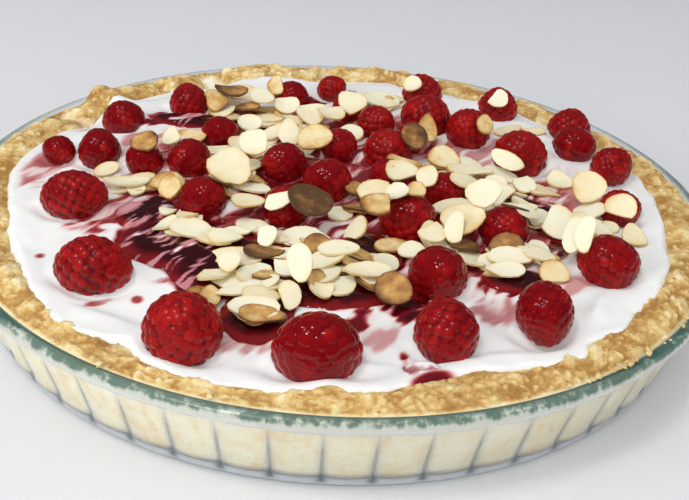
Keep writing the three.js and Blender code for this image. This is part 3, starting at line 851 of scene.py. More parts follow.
# %% Where the berries are
# For each of the frame's raspberry nodes in turn: bearing of the tip, its tilt above the
# level, width, length from hollow to tip, and how much jam fills the creases.
BERRIES = [
    (5, 55, 21, 19.5, 0.05), (5, -20, 23.5, 20, 0.4), (10, -35, 17.5, 19.5, 0.2),
    (8, -40, 16, 18.5, 0.35), (80, 20, 18.5, 19, 0.2), (82, 5, 18.5, 22.5, 0.1),
    (98, 5, 16.5, 21, 0.1), (20, 40, 17.5, 18, 0.45), (60, 30, 15.5, 16.5, 0.5),
    (100, 10, 13.5, 14.5, 0.1), (120, 25, 14, 15.5, 0.1), (60, 20, 15.5, 16.5, 0.5),
    (150, 50, 16.5, 17, 0.1), (170, 55, 15.5, 16.5, 0), (200, 45, 16, 16.5, 0),
    (90, 30, 10.5, 12, 0), (250, 20, 13, 14, 0.3), (210, 55, 15, 16, 0.2),
    (120, 15, 14.5, 15.5, 0.5), (270, 20, 10.5, 11.5, 0.8), (200, 60, 14.5, 15.5, 0.55),
    (0, 60, 19.5, 19.5, 0.05), (330, 40, 16.5, 18, 0), (250, 25, 19, 19.5, 0),
    (60, 40, 14, 14.5, 0.1), (180, 35, 13.5, 14.5, 0.2), (30, 50, 18.5, 19, 0.2),
    (280, 30, 16.5, 17, 0.4), (320, 50, 13, 13.5, 0.1), (40, 35, 17, 17.5, 0.1),
    (300, 20, 14.5, 16, 0.4), (260, 30, 14.5, 15, 0.45), (30, 45, 15.5, 16.5, 0.5),
    (340, 30, 15, 17, 0.4), (240, 15, 12.5, 13.5, 0.5), (100, 10, 13, 14, 0.6),
    (0, 40, 11, 12, 0), (20, 25, 13, 14, 0.2), (90, 35, 13.5, 14, 0.3),
]
DRUPELETS = 122
DRUPELET_SIZE = 0.124                 # radius, as a share of the berry's width
PLUMP = 1.03                          # the drupelets stand out past the berry's size
GOLDEN_TURN = math.pi * (3 - math.sqrt(5))
berry_nodes = sorted(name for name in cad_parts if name.startswith("raspberry_"))
print(len(berry_nodes), "raspberries in the frame")


def middle_of(node):
    low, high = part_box(node)
    return (low + high) / 2 / MM


def tip_direction(bearing, tilt):
    bearing, tilt = math.radians(bearing), math.radians(tilt)
    level = math.cos(tilt)
    return Vector((level * math.sin(bearing), -level * math.cos(bearing), math.sin(tilt)))


def berry_body(directions, width, length):
    """The smooth blunt cone round the drupelets."""
    z = directions[:, 2]
    taper = 1 - 0.2 * np.maximum(0, z) ** 1.5 - 0.06 * np.maximum(0, -z) ** 2
    across = width / 2 * taper
    return PLUMP * directions * np.column_stack([across, across, np.full(len(z), length / 2)])


def drupelet_balls(width, length, seed):
    """Middles and radii of the drupelets, laid along a spiral from the tip to the stem."""
    draw = np.random.default_rng(seed)
    index = np.arange(DRUPELETS)
    z = 1 - 2 * (index + 0.5) / DRUPELETS
    turn = GOLDEN_TURN * index + draw.uniform(0, 2 * np.pi)
    level = np.sqrt(1 - z * z)
    directions = np.column_stack([level * np.cos(turn), level * np.sin(turn), z])
    directions += draw.normal(0, 0.022, directions.shape)
    directions /= np.linalg.norm(directions, axis=1)[:, None]
    skin = berry_body(directions, width, length)
    radii = DRUPELET_SIZE * width * draw.uniform(0.9, 1.1, DRUPELETS)
    reach = np.linalg.norm(skin, axis=1)
    middles = skin * ((reach - radii) / reach)[:, None]
    return middles, radii, draw.uniform(0, 1, DRUPELETS)


# %% One raspberry
def make_berry(name, width, length, tip, middle, jam, seed):
    """A fine ball whose points are pushed out onto the drupelets, turned and put in place."""
    bare_selection()
    fineness = 7 if width > 20 else 6 if width > 13.2 else 5
    bpy.ops.mesh.primitive_ico_sphere_add(subdivisions=fineness, radius=1)
    berry = bpy.context.active_object
    berry.name = name
    directions = points_of(berry) * MM
    directions /= np.linalg.norm(directions, axis=1)[:, None]
    skin = berry_body(directions, width, length)
    reach = np.linalg.norm(skin, axis=1)
    rays = skin / reach[:, None]
    middles, radii, tones = drupelet_balls(width, length, seed)
    along = rays @ middles.T
    inside = radii ** 2 - (middles ** 2).sum(1) + along ** 2
    hit = along + np.sqrt(np.maximum(inside, 0))
    hit = np.where((inside > 0) & (along > 0), hit, 0)
    core = 0.92 * reach
    out = np.maximum(hit.max(1), core)
    top = np.clip((out - core) / (reach - core), 0, 1)
    turned = np.array(Vector((0, 0, 1)).rotation_difference(tip).to_matrix())
    upward = rays @ turned.T[:, 2]
    drip = jam * 1.5 * (0.55 + 0.45 * upward + 1.3 * grain(skin, 6, seed))
    filled = np.clip(drip, 0, 0.45)
    out += filled * (0.985 * reach - out)
    move_points(berry, (rays * out[:, None]) @ turned.T + np.array(middle))
    # top is 1 on the drupelets and falls to 0 in the creases between them, which the skin paints darker as
    # painted shade.
    note(berry, "top", top)
    note(berry, "tone", tones[hit.argmax(1)])
    note(berry, "wet", np.clip(0.12 + 1.6 * drip, 0, 1))
    return berry


print(DRUPELETS, "drupelets on each of", len(BERRIES), "berries")

# %% Skin of the berries
skin = Recipe("raspberry_skin")
ripeness = 0.6 * skin.noted("tone") + 0.8 * (skin.noise(9, 2, 0.5) - 0.3)
ripe = skin.blend(skin.between(ripeness, 0.0, 1.0), colour(0.21, 0.001, 0.002), colour(0.41, 0.006, 0.004))
# Painted shade: the creases between the drupelets are coloured a nearly black red.
body = skin.blend(skin.between(skin.noted("top"), 0.0, 0.7), colour(0.10, 0.001, 0.003), ripe)
syrup = skin.blend(skin.noted("wet") * 0.7, body, colour(0.13, 0.001, 0.004))
skin.set(base_color=syrup, roughness=0.34 - 0.27 * skin.noted("wet"), specular_ior_level=0.3,
         subsurface_weight=0.08, subsurface_radius=(1.0, 0.1, 0.06), subsurface_scale=1.4 * MM)

for index, (node, (bearing, tilt, width, length, jam)) in enumerate(zip(berry_nodes, BERRIES)):
    berry = make_berry("berry" + node[-3:], width, length, tip_direction(bearing, tilt),
                       middle_of(node), jam, index)
    finish_piece(berry, skin.material, "raspberry", node)

# %% [markdown]
# ## Cream
# Whipped cream is soft but stands: it swells up round each berry that is pressed into it,
# laps over the crust's edge, and keeps the low folds that the spoon left. A fine grid
# carries it as one height for each place. A fluid simulation would take minutes for the
# same rest shape. Jam was stirred into the middle, so each point also notes how much jam
# it holds, and the finish turns that into white, pink, red or nearly black.

# %% Where the jam was stirred in
# Strokes of jam in the cream: x, y, half length, half width, bearing of the stroke
# anticlockwise from +X in degrees, and how much jam.
STROKES = [
    (-69, -26, 17, 10, 55, 0.62), (-64, -41, 8, 3.4, 60, 0.8), (-100, -1, 14, 8, 72, 0.48),
    (-93, 43, 11, 5, 30, 0.4), (-71, 27, 9, 5, 30, 0.4), (-47, -64.5, 7, 1.5, 20, 0.6),
    (-63.5, -77, 4.6, 1.7, 48, 0.55), (-30, -11, 17, 6, 40, 0.8), (-24, -19, 12, 5, 30, 0.9),
    (45, -40, 20, 12, 60, 0.7), (46, -70, 9, 6, 60, 0.42), (8, -80, 8, 3.6, 75, 0.8),
    (13, -88, 7, 4, 60, 0.34), (50, -55, 9, 6, 20, 0.8), (71, -55, 9, 4, 50, 0.36),
    (85, 15, 8, 6, 40, 0.36), (-21, -86, 13, 5, -4, 0.95), (-22, -94, 10, 4, 0, 0.36),
    (21.5, -102, 8, 1.6, 105, 0.7), (25.5, -109, 6, 3, 5, 0.95), (20, -71, 9, 6, 60, 1.0),
    (4, -19, 14, 7, 30, 0.9), (-13, -6, 12, 6, 30, 0.85), (38, -12, 14, 7, 20, 0.95),
    (-68, 42, 7, 3, 20, 0.85), (-50, 45, 13, 4.5, 5, 0.9), (-43, 57, 12, 6, 0, 0.8),
    (-15, 35, 16, 8, 30, 0.75), (-15, 69, 9, 4, 10, 0.8), (25, 30, 14, 8, 40, 0.75),
    (-32, 6, 16, 8, 30, 0.7), (2, 52, 14, 7, 0, 0.6), (60, 42, 12, 7, 30, 0.4),
    (10, 12, 14, 8, 50, 0.6), (76, -29, 12, 8, 50, 0.95), (88, 4, 9, 6, 60, 0.36),
    (-62, 6, 14, 8, 60, 0.4), (-44, 26, 14, 6, 20, 0.45),
]
# Cream that stayed white: x, y, half widths along x and y.
WHITES = [
    (-14, -38, 12, 5), (-37, -21, 8, 4), (64, 17, 8, 5), (-70, 61, 14, 8), (-33, 31, 8, 5),
    (-60, -62, 11, 9), (44, 72, 14, 7), (-80, -47, 10, 7), (98, -30, 10, 14), (-69, -36, 3.5, 2),
    (13.6, -79.8, 4, 4.5), (3.5, -77.8, 3, 2.6), (-61, 38.5, 6, 2.4), (-52, 85, 13, 8),
]
# Small drops of jam on the cream: x, y and radius.
SPOTS = [(-54, -75, 2.3), (-85.6, -56.5, 1.9), (-104, -34, 1.2)]

# Folds left by the spoon: x, y, half length, width, bearing of the ridge, height.
FOLDS = [
    (90, -62, 24, 7, 60, 2.7), (46, -94, 16, 6, 15, 2.1), (-60, -86, 16, 7, -20, 1.5),
    (12, -101, 12, 6, 5, 1.2), (-96, -44, 20, 8, -55, 1.8), (103, -26, 18, 6, 85, 2.1),
    (68, -94, 12, 5, 40, 1.5), (-106, -6, 22, 7, 85, 1.6), (-28, 97, 18, 6, 10, 1.5),
    (101, 18, 14, 5, 80, 1.5), (-84, 66, 14, 6, 40, 1.4), (38, -74, 12, 5, 80, 1.8),
    (75, -70, 14, 6, 70, 1.8),
]
# Places where the cream was heaped: x, y, half length, half width, bearing, height.
MOUNDS = [(78, -68, 16, 12, 40, 1.6), (101, -40, 14, 10, 80, 1.4), (-76, -62, 14, 10, -40, 1.0)]
STIRRED = 54                          # the way the spoon went, anticlockwise from +X
print(len(STROKES), "strokes of jam,", len(WHITES), "white places and", len(FOLDS), "folds")


# %% Jam in the cream
def stroke(x, y, middle_x, middle_y, half_length, half_width, bearing):
    """Distances along and across a stroke, in shares of its half length and half width."""
    angle = math.radians(bearing)
    away_x, away_y = x - middle_x, y - middle_y
    along = (away_x * math.cos(angle) + away_y * math.sin(angle)) / half_length
    across = (away_y * math.cos(angle) - away_x * math.sin(angle)) / half_width
    return along, across


def drawn_threads(flat, sway, sway_size, length, width, seed):
    """Threads from about -1 to 1, drawn out the way that the spoon went."""
    swayed = flat[:, 1] + sway * grain(flat, sway_size, 21) + 2 * grain(flat, 6, 22)
    along, across = stroke(flat[:, 0], swayed, 0, 0, length, width, STIRRED)
    return grain(np.column_stack([along, across, np.zeros(len(flat))]), 1.0, seed, 3)


def jam_in_cream(x, y, flat):
    """How much jam is stirred into the cream at each point, from 0 to 1."""
    threads = drawn_threads(flat, 5, 16, 17, 3.4, 2)
    middle = ease(0.1 + in_round((4, -1, 84, 68), x, y), 0, 0.35)
    clean_corner = ease(x, 25, 50) * ease(y, 5, 30)
    amount = (0.66 - 0.3 * clean_corner) * middle * (0.2 + 0.8 * ease(threads, -0.45, 0.15))
    for *place, strength in STROKES:
        along, across = stroke(x, y, *place)
        body = ease(1.25 - np.hypot(along, across) + 0.55 * threads, 0.0, 0.6)
        amount = np.maximum(amount, strength * body * (0.35 + 0.65 * ease(threads, -0.5, 0.25)))
    for white in WHITES:
        amount *= 1 - 0.9 * ease(0.2 + in_round(white, x, y) + 0.5 * threads, 0, 0.6)
    for middle_x, middle_y, radius in SPOTS:
        distance = np.hypot(x - middle_x, (y - middle_y) * 0.85)
        amount = np.maximum(amount, 0.55 * (1 - ease(distance, 0.5 * radius, radius)))
    drop = ease(in_pool("jam_drop", x, y), -1, -0.3)         # cream closed over this one
    shore = ease(in_jam(x, y) + 0.14 * grain(flat, 5, 8), -0.14, 0.02) * (1 - drop)
    return np.clip(np.maximum(amount, shore * (0.8 + 0.4 * grain(flat, 3, 9))), 0, 1)


print("the most jam in one stroke is", max(strength for *_, strength in STROKES))

# %% Rise and fall of the cream
COLLAR_RISE = 0.9
COLLAR_DIP = 1.9
COLLAR_WIDTH = 2.6


def berry_collars(x, y):
    """Cream pushed up behind each berry, and drawn down at its front."""
    swell = np.zeros(len(x))
    for node, (bearing, tilt, width, length, _) in zip(berry_nodes, BERRIES):
        middle = middle_of(node)
        reach = max(width, length * math.cos(math.radians(tilt))) / 2
        along, across = stroke(x, y, middle.x, middle.y, reach, width / 2, bearing - 90)
        outside = (np.hypot(along, across) - 1) * width / 2
        in_front = ease((middle.y - y) / width, 0.0, 0.4)
        ring = np.exp(-((np.maximum(outside, 0) / COLLAR_WIDTH) ** 2))
        swell += ring * (COLLAR_RISE - (COLLAR_RISE + COLLAR_DIP) * in_front)
    return np.clip(swell, -COLLAR_DIP, COLLAR_RISE)


def cream_folds(x, y):
    """Folds with one steep side, each a little bent, and the broad mounds."""
    height = np.zeros(len(x))
    for *place, rise in FOLDS:
        along, across = stroke(x, y, *place)
        bent = across + 0.35 * along ** 2
        steep = np.where(bent > 0, 2.4, 0.8)
        height += rise * np.exp(-((bent * steep) ** 2)) * np.exp(-(along ** 2) * 1.4)
    for *place, rise in MOUNDS:
        along, across = stroke(x, y, *place)
        height += rise * np.exp(-(along ** 2) - across ** 2)
    return height


print("the highest fold is", max(rise for *_, rise in FOLDS), "mm high")

# %% Sheets that become solids
def keep_inside(piece, inside):
    """Deletes all the points that aren't inside."""
    select_points(piece, ~inside)
    bpy.ops.mesh.delete(type="VERT")
    bpy.ops.object.mode_set(mode="OBJECT")


def close_below(piece, bottom, foot=None):
    """Extrudes the sheet's border down, in to the foot's radius if one is given, and fills
    it, so that the sheet becomes a solid."""
    select_points(piece, np.ones(len(piece.data.vertices), bool))
    bpy.ops.mesh.region_to_loop()
    bpy.ops.mesh.extrude_edges_move(TRANSFORM_OT_translate={"value": (0, 0, -2 * MM)})
    bpy.ops.object.mode_set(mode="OBJECT")
    picked = np.empty(len(piece.data.vertices), bool)
    piece.data.vertices.foreach_get("select", picked)
    points = points_of(piece)
    points[picked, 2] = bottom
    if foot:
        radius = np.hypot(*points[picked, :2].T)
        points[picked, :2] *= (foot / radius)[:, None]
    move_points(piece, points)
    bpy.ops.object.mode_set(mode="EDIT")
    bpy.ops.mesh.edge_face_add()
    bpy.ops.mesh.select_all(action="SELECT")
    bpy.ops.mesh.normals_make_consistent(inside=False)
    bpy.ops.object.mode_set(mode="OBJECT")


# %% Where the cream ends
# It laps over the rim at the front, and stays below it at the back.
LAP_AT_FRONT = 0.75                   # share of the way from the rim's inner edge to its crest
LAP_AT_BACK = 0.05
BACK_SINKS = 2.4
# How much further it laps: bearing and mm, joined by straight lines between them.
LAP_FURTHER = [
    (-180, 0), (-120, 0), (-110, -1.2), (-90, -2.6), (-75, -3), (-68, -3.8), (-61, -4.8),
    (-57, -4.2), (-54, -1.6), (-50, -0.3), (-44, 1.8), (-41, 3.4), (-37.5, 4.4), (-34, 1),
    (-29.5, -5), (-25, 0.1), (-19, 2.1), (-14.5, 2.2), (-9, 0.6), (-5, 1.6), (-1, 1.6), (3, 1),
    (8, 0.3), (15, -2), (22.8, 0.8), (29, -0.3), (33, 1.7), (36.5, 3.2), (40, 1), (46.5, 2.9),
    (51.5, -0.4), (59, 0.8), (69.5, -1.8), (76, -4.5), (85, -3), (95, -1.8), (110, 0.5),
    (130, 0), (180, 0),
]


def lap_over_rim(x, y):
    """Radius where the cream ends on the crust, and its height just inside that edge."""
    bearing = bearing_of(x, y)
    crest, inner = rim_at(bearing)
    at_back = ease(-np.cos(bearing), -0.1, 0.7)
    share = LAP_AT_FRONT + (LAP_AT_BACK - LAP_AT_FRONT) * at_back
    lap = inner[0] + share * (crest[0] - inner[0])
    lap = lap + np.interp(np.degrees(bearing), *np.transpose(LAP_FURTHER))
    return lap, crest[1] - 0.2 - BACK_SINKS * at_back


print("at the front the cream ends", round(float(lap_over_rim(0.0, -1.0)[0]), 1), "mm from the middle")

# %% Cream surface
CREAM_STEP = 0.68
CREAM_REACH = 120.5
CREAM_FOOT = 99.0
CREAM_BOTTOM = CRUST_BASE_TOP - 0.3
EDGE_DROOPS = 2.8                     # how far the cream's edge falls onto the crust
SINKS_UNDER_JAM = 2.4
DROP_STAIN = 0.78                     # how red the drop at the rim is

bare_selection()
steps = round(2 * CREAM_REACH / CREAM_STEP)
bpy.ops.mesh.primitive_grid_add(x_subdivisions=steps, y_subdivisions=steps, size=2 * CREAM_REACH * MM)
cream = bpy.context.active_object
cream.name = "whipped_cream"
flat = points_of(cream)
lap, _ = lap_over_rim(flat[:, 0], flat[:, 1])
keep_inside(cream, np.hypot(flat[:, 0], flat[:, 1]) < lap + 1.3)
flat = points_of(cream)
x, y = flat[:, 0], flat[:, 1]
radius = np.hypot(x, y)
lap, edge_height = lap_over_rim(x, y)
lap = lap + 0.9 * grain(flat, 9, 31) + 0.4 * grain(flat, 3, 32)

stained = jam_in_cream(x, y, flat)
jam = ease(in_jam(x, y), -0.06, 0.2)
near_rim = ease(radius, lap - 12, lap - 3)
dimples = 1.1 * grain(flat, 19, 4) + 0.3 * grain(flat, 8, 5)
drop_at_rim = np.exp(-((((x - 27.5) / 6.6) ** 2 + ((y + 108 - 0.3 * (x - 27)) / 5) ** 2) ** 4))
height = cream_top(x, y) + (dimples + cream_folds(x, y)) * (1 - jam)
height += near_rim * (edge_height + 0.35 * grain(flat, 7, 33) - height)
height += berry_collars(x, y) * (1 - jam) * (1 - near_rim)
height -= EDGE_DROOPS * ease(radius, lap - 2.0, lap + 0.8) ** 1.5
height -= SINKS_UNDER_JAM * jam + 0.3 * ease(stained, 0.3, 1)
move_points(cream, np.column_stack([x, y, height]))
stained *= 1 - ease(radius, lap - 6, lap - 2)
note(cream, "jam", np.maximum(stained, DROP_STAIN * drop_at_rim))
close_below(cream, CREAM_BOTTOM, CREAM_FOOT)
print("the cream's surface is", round(height.min(), 1), "to", round(height.max(), 1), "mm high")

# %% Cream finish
whipped = Recipe("whipped_cream")
held = whipped.noted("jam")
pink = whipped.ramp(held, [
    (0.0, (0.86, 0.86, 0.85)),
    (0.14, (0.80, 0.69, 0.67)),
    (0.34, (0.64, 0.33, 0.33)),
    (0.52, (0.40, 0.06, 0.07)),
    (0.7, (0.18, 0.006, 0.012)),
    (1.0, (0.05, 0.001, 0.004)),
])
whipped.set(base_color=pink, roughness=0.42 - 0.34 * whipped.between(held, 0.35, 0.8),
            specular_ior_level=0.4, subsurface_weight=0.15,
            subsurface_radius=(1.0, 0.8, 0.65), subsurface_scale=2.0 * MM)
whipped.bump(whipped.noise(3.0, 3, 0.55), 0.25, 0.5)
finish_piece(cream, whipped.material, "cream", "cream")

# %% [markdown]
# ## Jam
# The jam lies in pools that it has found for itself: almost black where it is deep, clear
# red at its thin shore, and so wet that it mirrors the window. Each pool is a patch of
# fine grid whose edge dips under the cream, so the shore is where the two surfaces cross,
# as it is in a real puddle. A flat disc would show a cut edge.

# %% Cream that floats on the jam
# Streaks: x, y, half length, half width, bearing, amount.
CREAM_STREAKS = [
    (-46.5, -49.6, 3.2, 0.9, 60, 0.95), (-43, -46, 2.6, 0.8, 50, 0.85), (-51.5, -41.6, 3.4, 1.0, 40, 0.95),
    (-49, -31, 6, 1.6, 50, 0.5), (-53.7, -23, 3, 1.3, 30, 1.0), (-60, -42, 2.2, 0.9, 20, 1.0),
    (-37, -24, 5, 2.2, 30, 0.9), (-30, -31, 4, 1, 40, 0.35), (66, -8, 3, 0.9, 20, 0.5),
    (-66, -24, 7, 3.6, 55, 0.6), (-63, -18, 6, 3, 45, 0.75), (-60, -33, 5, 1.6, 55, 0.5),
    (-44, -37, 5, 0.8, 35, 0.55), (-36, -45, 5, 0.7, 50, 0.6), (25, -96.6, 12, 5.2, 0, 1.0),
    (-40, -57, 3.5, 0.8, 30, 0.5), (-60, 45, 5, 1.4, 20, 0.9), (-46, 48, 5, 1.2, 10, 0.5),
]


def cream_streaks(flat):
    """How much cream floats on the jam: fine threads on the left, and the streaks."""
    x, y = flat[:, 0], flat[:, 1]
    amount = 0.6 * ease(-x, 26, 48) * ease(drawn_threads(flat, 4, 14, 14, 2.4, 7), 0.12, 0.5)
    torn = 0.3 * grain(flat, 1.6, 16)
    for *place, strength in CREAM_STREAKS:
        along, across = stroke(x, y, *place)
        amount = np.maximum(amount, strength * (1 - ease(np.hypot(along, across) + torn, 0.4, 1.1)))
    return amount


print(len(CREAM_STREAKS), "streaks of cream on the jam")

# %% Pools
JAM_STEP = 0.6
JAM_PROUD = 0.9
SHORE_DIPS = 2.2


def make_pool(name):
    """A patch of grid round the pool, whose edge dips under the cream, made a solid."""
    rings = np.array(JAM_POOLS[name])
    low = (rings[:, :2] - 1.3 * rings[:, 2:]).min(0)
    high = (rings[:, :2] + 1.3 * rings[:, 2:]).max(0)
    steps = np.ceil((high - low) / JAM_STEP).astype(int)
    middle = (low + high) / 2
    bare_selection()
    bpy.ops.mesh.primitive_grid_add(x_subdivisions=int(steps[0]), y_subdivisions=int(steps[1]), size=2)
    pool = bpy.context.active_object
    pool.name = name + "_pool"
    flat = points_of(pool) * MM
    flat = np.column_stack([flat[:, :2] * (high - low) / 2 + middle, np.zeros(len(flat))])
    ragged = 0.14 * grain(flat, 8, 11) + 0.07 * grain(flat, 3, 12)
    inside = in_pool(name, flat[:, 0], flat[:, 1]) + ragged
    move_points(pool, flat)
    note(pool, "inside", inside)
    keep_inside(pool, inside > -0.25)
    flat, inside = points_of(pool), noted(pool, "inside")
    deep = ease(inside, 0, 0.35)
    ripple = 0.38 * grain(flat, 9, 13) + 0.22 * grain(flat, 3.6, 14) + 0.08 * grain(flat, 1.6, 15)
    level = cream_top(flat[:, 0], flat[:, 1])
    height = level + JAM_PROUD * deep + ripple * ease(inside, 0, 0.3)
    height -= SHORE_DIPS * (1 - ease(inside, -0.2, 0.06))
    move_points(pool, np.column_stack([flat[:, 0], flat[:, 1], height]))
    note(pool, "deep", ease(inside + 0.35 * ripple, 0.0, 0.4))
    note(pool, "cream", cream_streaks(flat))
    close_below(pool, float(height.min()) - 1)
    return pool


print("each pool is a grid with steps of", JAM_STEP, "mm")

# %% Jam finish
syrup = Recipe("raspberry_jam")
depth = syrup.between(syrup.noted("deep") + 0.5 * (syrup.noise(6, 3, 0.6) - 0.5), 0.0, 1.0)
red = syrup.ramp(depth, [
    (0.0, (0.20, 0.008, 0.010)),
    (0.3, (0.12, 0.003, 0.006)),
    (0.65, (0.075, 0.002, 0.005)),
    (1.0, (0.030, 0.001, 0.003)),
])
swirled = syrup.blend(syrup.between(syrup.noted("cream"), 0.0, 0.5), red, colour(0.55, 0.22, 0.24))
swirled = syrup.blend(syrup.between(syrup.noted("cream"), 0.5, 1.0), swirled, colour(0.84, 0.80, 0.82))
syrup.set(base_color=swirled, roughness=0.07, specular_ior_level=0.4)
syrup.bump(syrup.noise(7, 2, 0.4), 0.5, 1.2)

for name in JAM_POOLS:
    finish_piece(make_pool(name), syrup.material, "jam", name)

# %% [markdown]
# ## Flaked almonds
# The flakes are thin slices cut along the nut: ovals with one blunter end, a little cupped,
# some broken, and the ones the oven caught are brown at the edge. One flake is modelled as
# a low disc; each copy then gets its own outline, bow and place. Physics could drop them,
# but a rule is surer: each flake is laid on the plane of what is already below it, so the
# heap grows as a real one does, and no flake hangs in the air.

# %% What the flakes fall on
MAP_STEP = 0.5
MAP_HALF = 130
MAP_SIDE = int(2 * MAP_HALF / MAP_STEP)
LOWEST = 8.0
ground = np.full((MAP_SIDE, MAP_SIDE), LOWEST)


def map_cell(x, y):
    """Column and line on the map of heights, of each place in mm."""
    cells = ((np.array([x, y]) + MAP_HALF) / MAP_STEP).astype(int)
    return tuple(np.clip(cells, 0, MAP_SIDE - 1))


def raise_ground(points):
    column, line = map_cell(points[:, 0], points[:, 1])
    np.maximum.at(ground, (column, line), points[:, 2])


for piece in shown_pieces():
    if piece.name != "flan_dish":
        raise_ground(points_of(piece))
for _ in range(2):                    # fills cells that no point fell into
    for axis in (0, 1):
        beside = np.minimum(np.roll(ground, 1, axis), np.roll(ground, -1, axis))
        ground = np.maximum(ground, beside - 0.4)
print("ground from", round(float(ground.min()), 1), "to", round(float(ground.max()), 1), "mm")

# %% The first flakes lie where the frame has them
MASK = 0xFFFFFFFF
FLAKE_SEED = 29
FLAKE_SIDES = 7
FLAKE_LENGTH = (12, 17)
FLAKE_WIDTH = (8, 10.5)
FLAKE_TAPER = 0.2
FLAKE_SPACING = 8.5
FLAKE_ROOM = 0.65
BERRY_REACH = 0.46
FLAKE_TRIES = 40

# Handfuls of flakes: x, y, spread and count.
HANDFULS = [
    (-19, -55, 15, 4), (10, -60, 14, 4), (-26, -72, 10, 2), (-32, -34, 14, 3),
    (44, 10, 13, 3), (58, -8, 14, 3), (36, -40, 12, 3), (78, -18, 10, 2),
    (54, -44, 10, 2), (15, -12, 10, 2), (-33, -4, 12, 3), (-62, -8, 9, 2),
    (-20, 30, 13, 3), (-43, 50, 12, 2), (-18, 52, 13, 3), (14, 68, 10, 2),
]


def seeded_draws(seed):
    """The frame's own generator, so that the same seed gives the same flakes."""
    state = seed

    def draw():
        nonlocal state
        state = (state + 0x6D2B79F5) & MASK
        mixed = ((state ^ (state >> 15)) * (state | 1)) & MASK
        mixed ^= (mixed + (mixed ^ (mixed >> 7)) * (mixed | 61)) & MASK
        return (mixed ^ (mixed >> 14)) / 2 ** 32

    return draw


def flake_corners(flake, room):
    angle = 2 * np.pi * np.arange(FLAKE_SIDES) / FLAKE_SIDES
    along = (flake["length"] / 2 + room) * np.cos(angle)
    across = (flake["width"] / 2 + room) * (1 - FLAKE_TAPER * np.cos(angle)) * np.sin(angle)
    cosine, sine = math.cos(flake["turn"]), math.sin(flake["turn"])
    return flake["x"] + cosine * along - sine * across, flake["y"] + sine * along + cosine * across


def rests_well(flake):
    """True if the whole flake lies on one pool or all on cream, and clear of the berries."""
    x, y = flake_corners(flake, FLAKE_ROOM)
    for node, (_, _, width, length, _) in zip(berry_nodes, BERRIES):
        middle = middle_of(node)
        if np.any(np.hypot(x - middle.x, y - middle.y) <= BERRY_REACH * max(width, length)):
            return False
    x, y = np.append(x, flake["x"]), np.append(y, flake["y"])
    shares = np.array([in_pool(name, x, y) for name in JAM_POOLS])
    return bool((shares > 0.02).all(1).any() or (shares < -0.02).all())


def frame_flakes():
    """The flakes of the frame, drawn again by its own rule and seed."""
    draw = seeded_draws(FLAKE_SEED)
    flakes = []
    for x, y, spread, count in HANDFULS:
        laid = 0
        for _ in range(FLAKE_TRIES):
            if laid == count:
                break
            angle = 2 * math.pi * draw()
            distance = spread * math.sqrt(draw())
            flake = {"x": x + distance * math.cos(angle), "y": y + distance * math.sin(angle)}
            for side, (least, most) in {"length": FLAKE_LENGTH, "width": FLAKE_WIDTH}.items():
                flake[side] = least + (most - least) * draw()
            flake["turn"] = 2 * math.pi * draw()
            draw(), draw()            # the frame's own small tilts
            apart = all(math.hypot(other["x"] - flake["x"], other["y"] - flake["y"]) > FLAKE_SPACING
                        for other in flakes)
            if apart and rests_well(flake):
                flakes.append(flake)
                laid += 1
    return flakes


first_flakes = frame_flakes()
print(len(first_flakes), "flakes as the frame has them; the first at",
      round(first_flakes[0]["x"], 2), round(first_flakes[0]["y"], 2))

# %% One flake
FLAKE_EDGE = 16

bare_selection()
bpy.ops.mesh.primitive_circle_add(vertices=FLAKE_EDGE, radius=1, fill_type="NGON")
bpy.ops.object.mode_set(mode="EDIT")
bpy.ops.mesh.select_all(action="SELECT")
bpy.ops.mesh.inset(thickness=0.4)
bpy.ops.mesh.poke()
bpy.ops.mesh.select_all(action="SELECT")
bpy.ops.mesh.extrude_region_move(TRANSFORM_OT_translate={"value": (0, 0, 1)})
bpy.ops.mesh.select_all(action="SELECT")
bpy.ops.mesh.normals_make_consistent(inside=False)
bpy.ops.object.mode_set(mode="OBJECT")
disc, disc_faces = take_pattern()
disc_radius = np.hypot(disc[:, 0], disc[:, 1])
disc_angle = np.arctan2(disc[:, 1], disc[:, 0])
disc_side = disc[:, 2] - 0.5
print("a flake has", len(disc_faces), "faces")


# %% Its outline and its bow
def flake_outline(angle, flake):
    """How far the outline reaches at each angle, before it is stretched to its size."""
    reach = 1 - 0.05 * np.cos(2 * angle) + flake["point"] * np.exp(-((angle / 0.45) ** 2))
    for waves, share in ((3, 1.0), (5, 0.7), (8, 0.7)):
        reach = reach + share * flake["wobble"] * np.sin(waves * angle + waves * flake["phase"])
    if flake["broken"] is not None:   # a straight break cuts one side off
        facing = np.cos(angle - flake["broken"])
        reach = np.where(facing > 0.35, np.minimum(reach, flake["left"] / np.maximum(facing, 0.05)), reach)
    return reach


def flake_shape(flake, radius, angle, side):
    """Points of one flake about its own middle, long side along x."""
    angle = (angle + np.pi) % (2 * np.pi) - np.pi
    reach = flake_outline(angle, flake)
    u = radius * reach * np.cos(angle)
    v = radius * reach * np.sin(angle) * (1 - flake["taper"] * np.cos(angle) * radius)
    x = u * flake["length"] / 2
    y = v * flake["width"] / 2
    bow = flake["bow"] * u ** 2 + flake["cup"] * v ** 2 + flake["twist"] * u * v
    return np.column_stack([x, y, bow + side * flake["thick"]])


# %% How a flake comes to rest
STEEPEST = (0.8, 0.55, 0.35, 0.18)    # rise over run of a flake, the flatter ones for high places
HIGHEST_FLAKE = 45.1                  # no flake stands higher than this
ON_BERRY = 100                        # a flake on a berry rests on the very highest points
ELSEWHERE = 84                        # percent of the points below that it stays clear of
OVER_DRUPELETS = 0.25                 # mm of air under a flake on a berry


print("no flake stands higher than", HIGHEST_FLAKE, "mm")


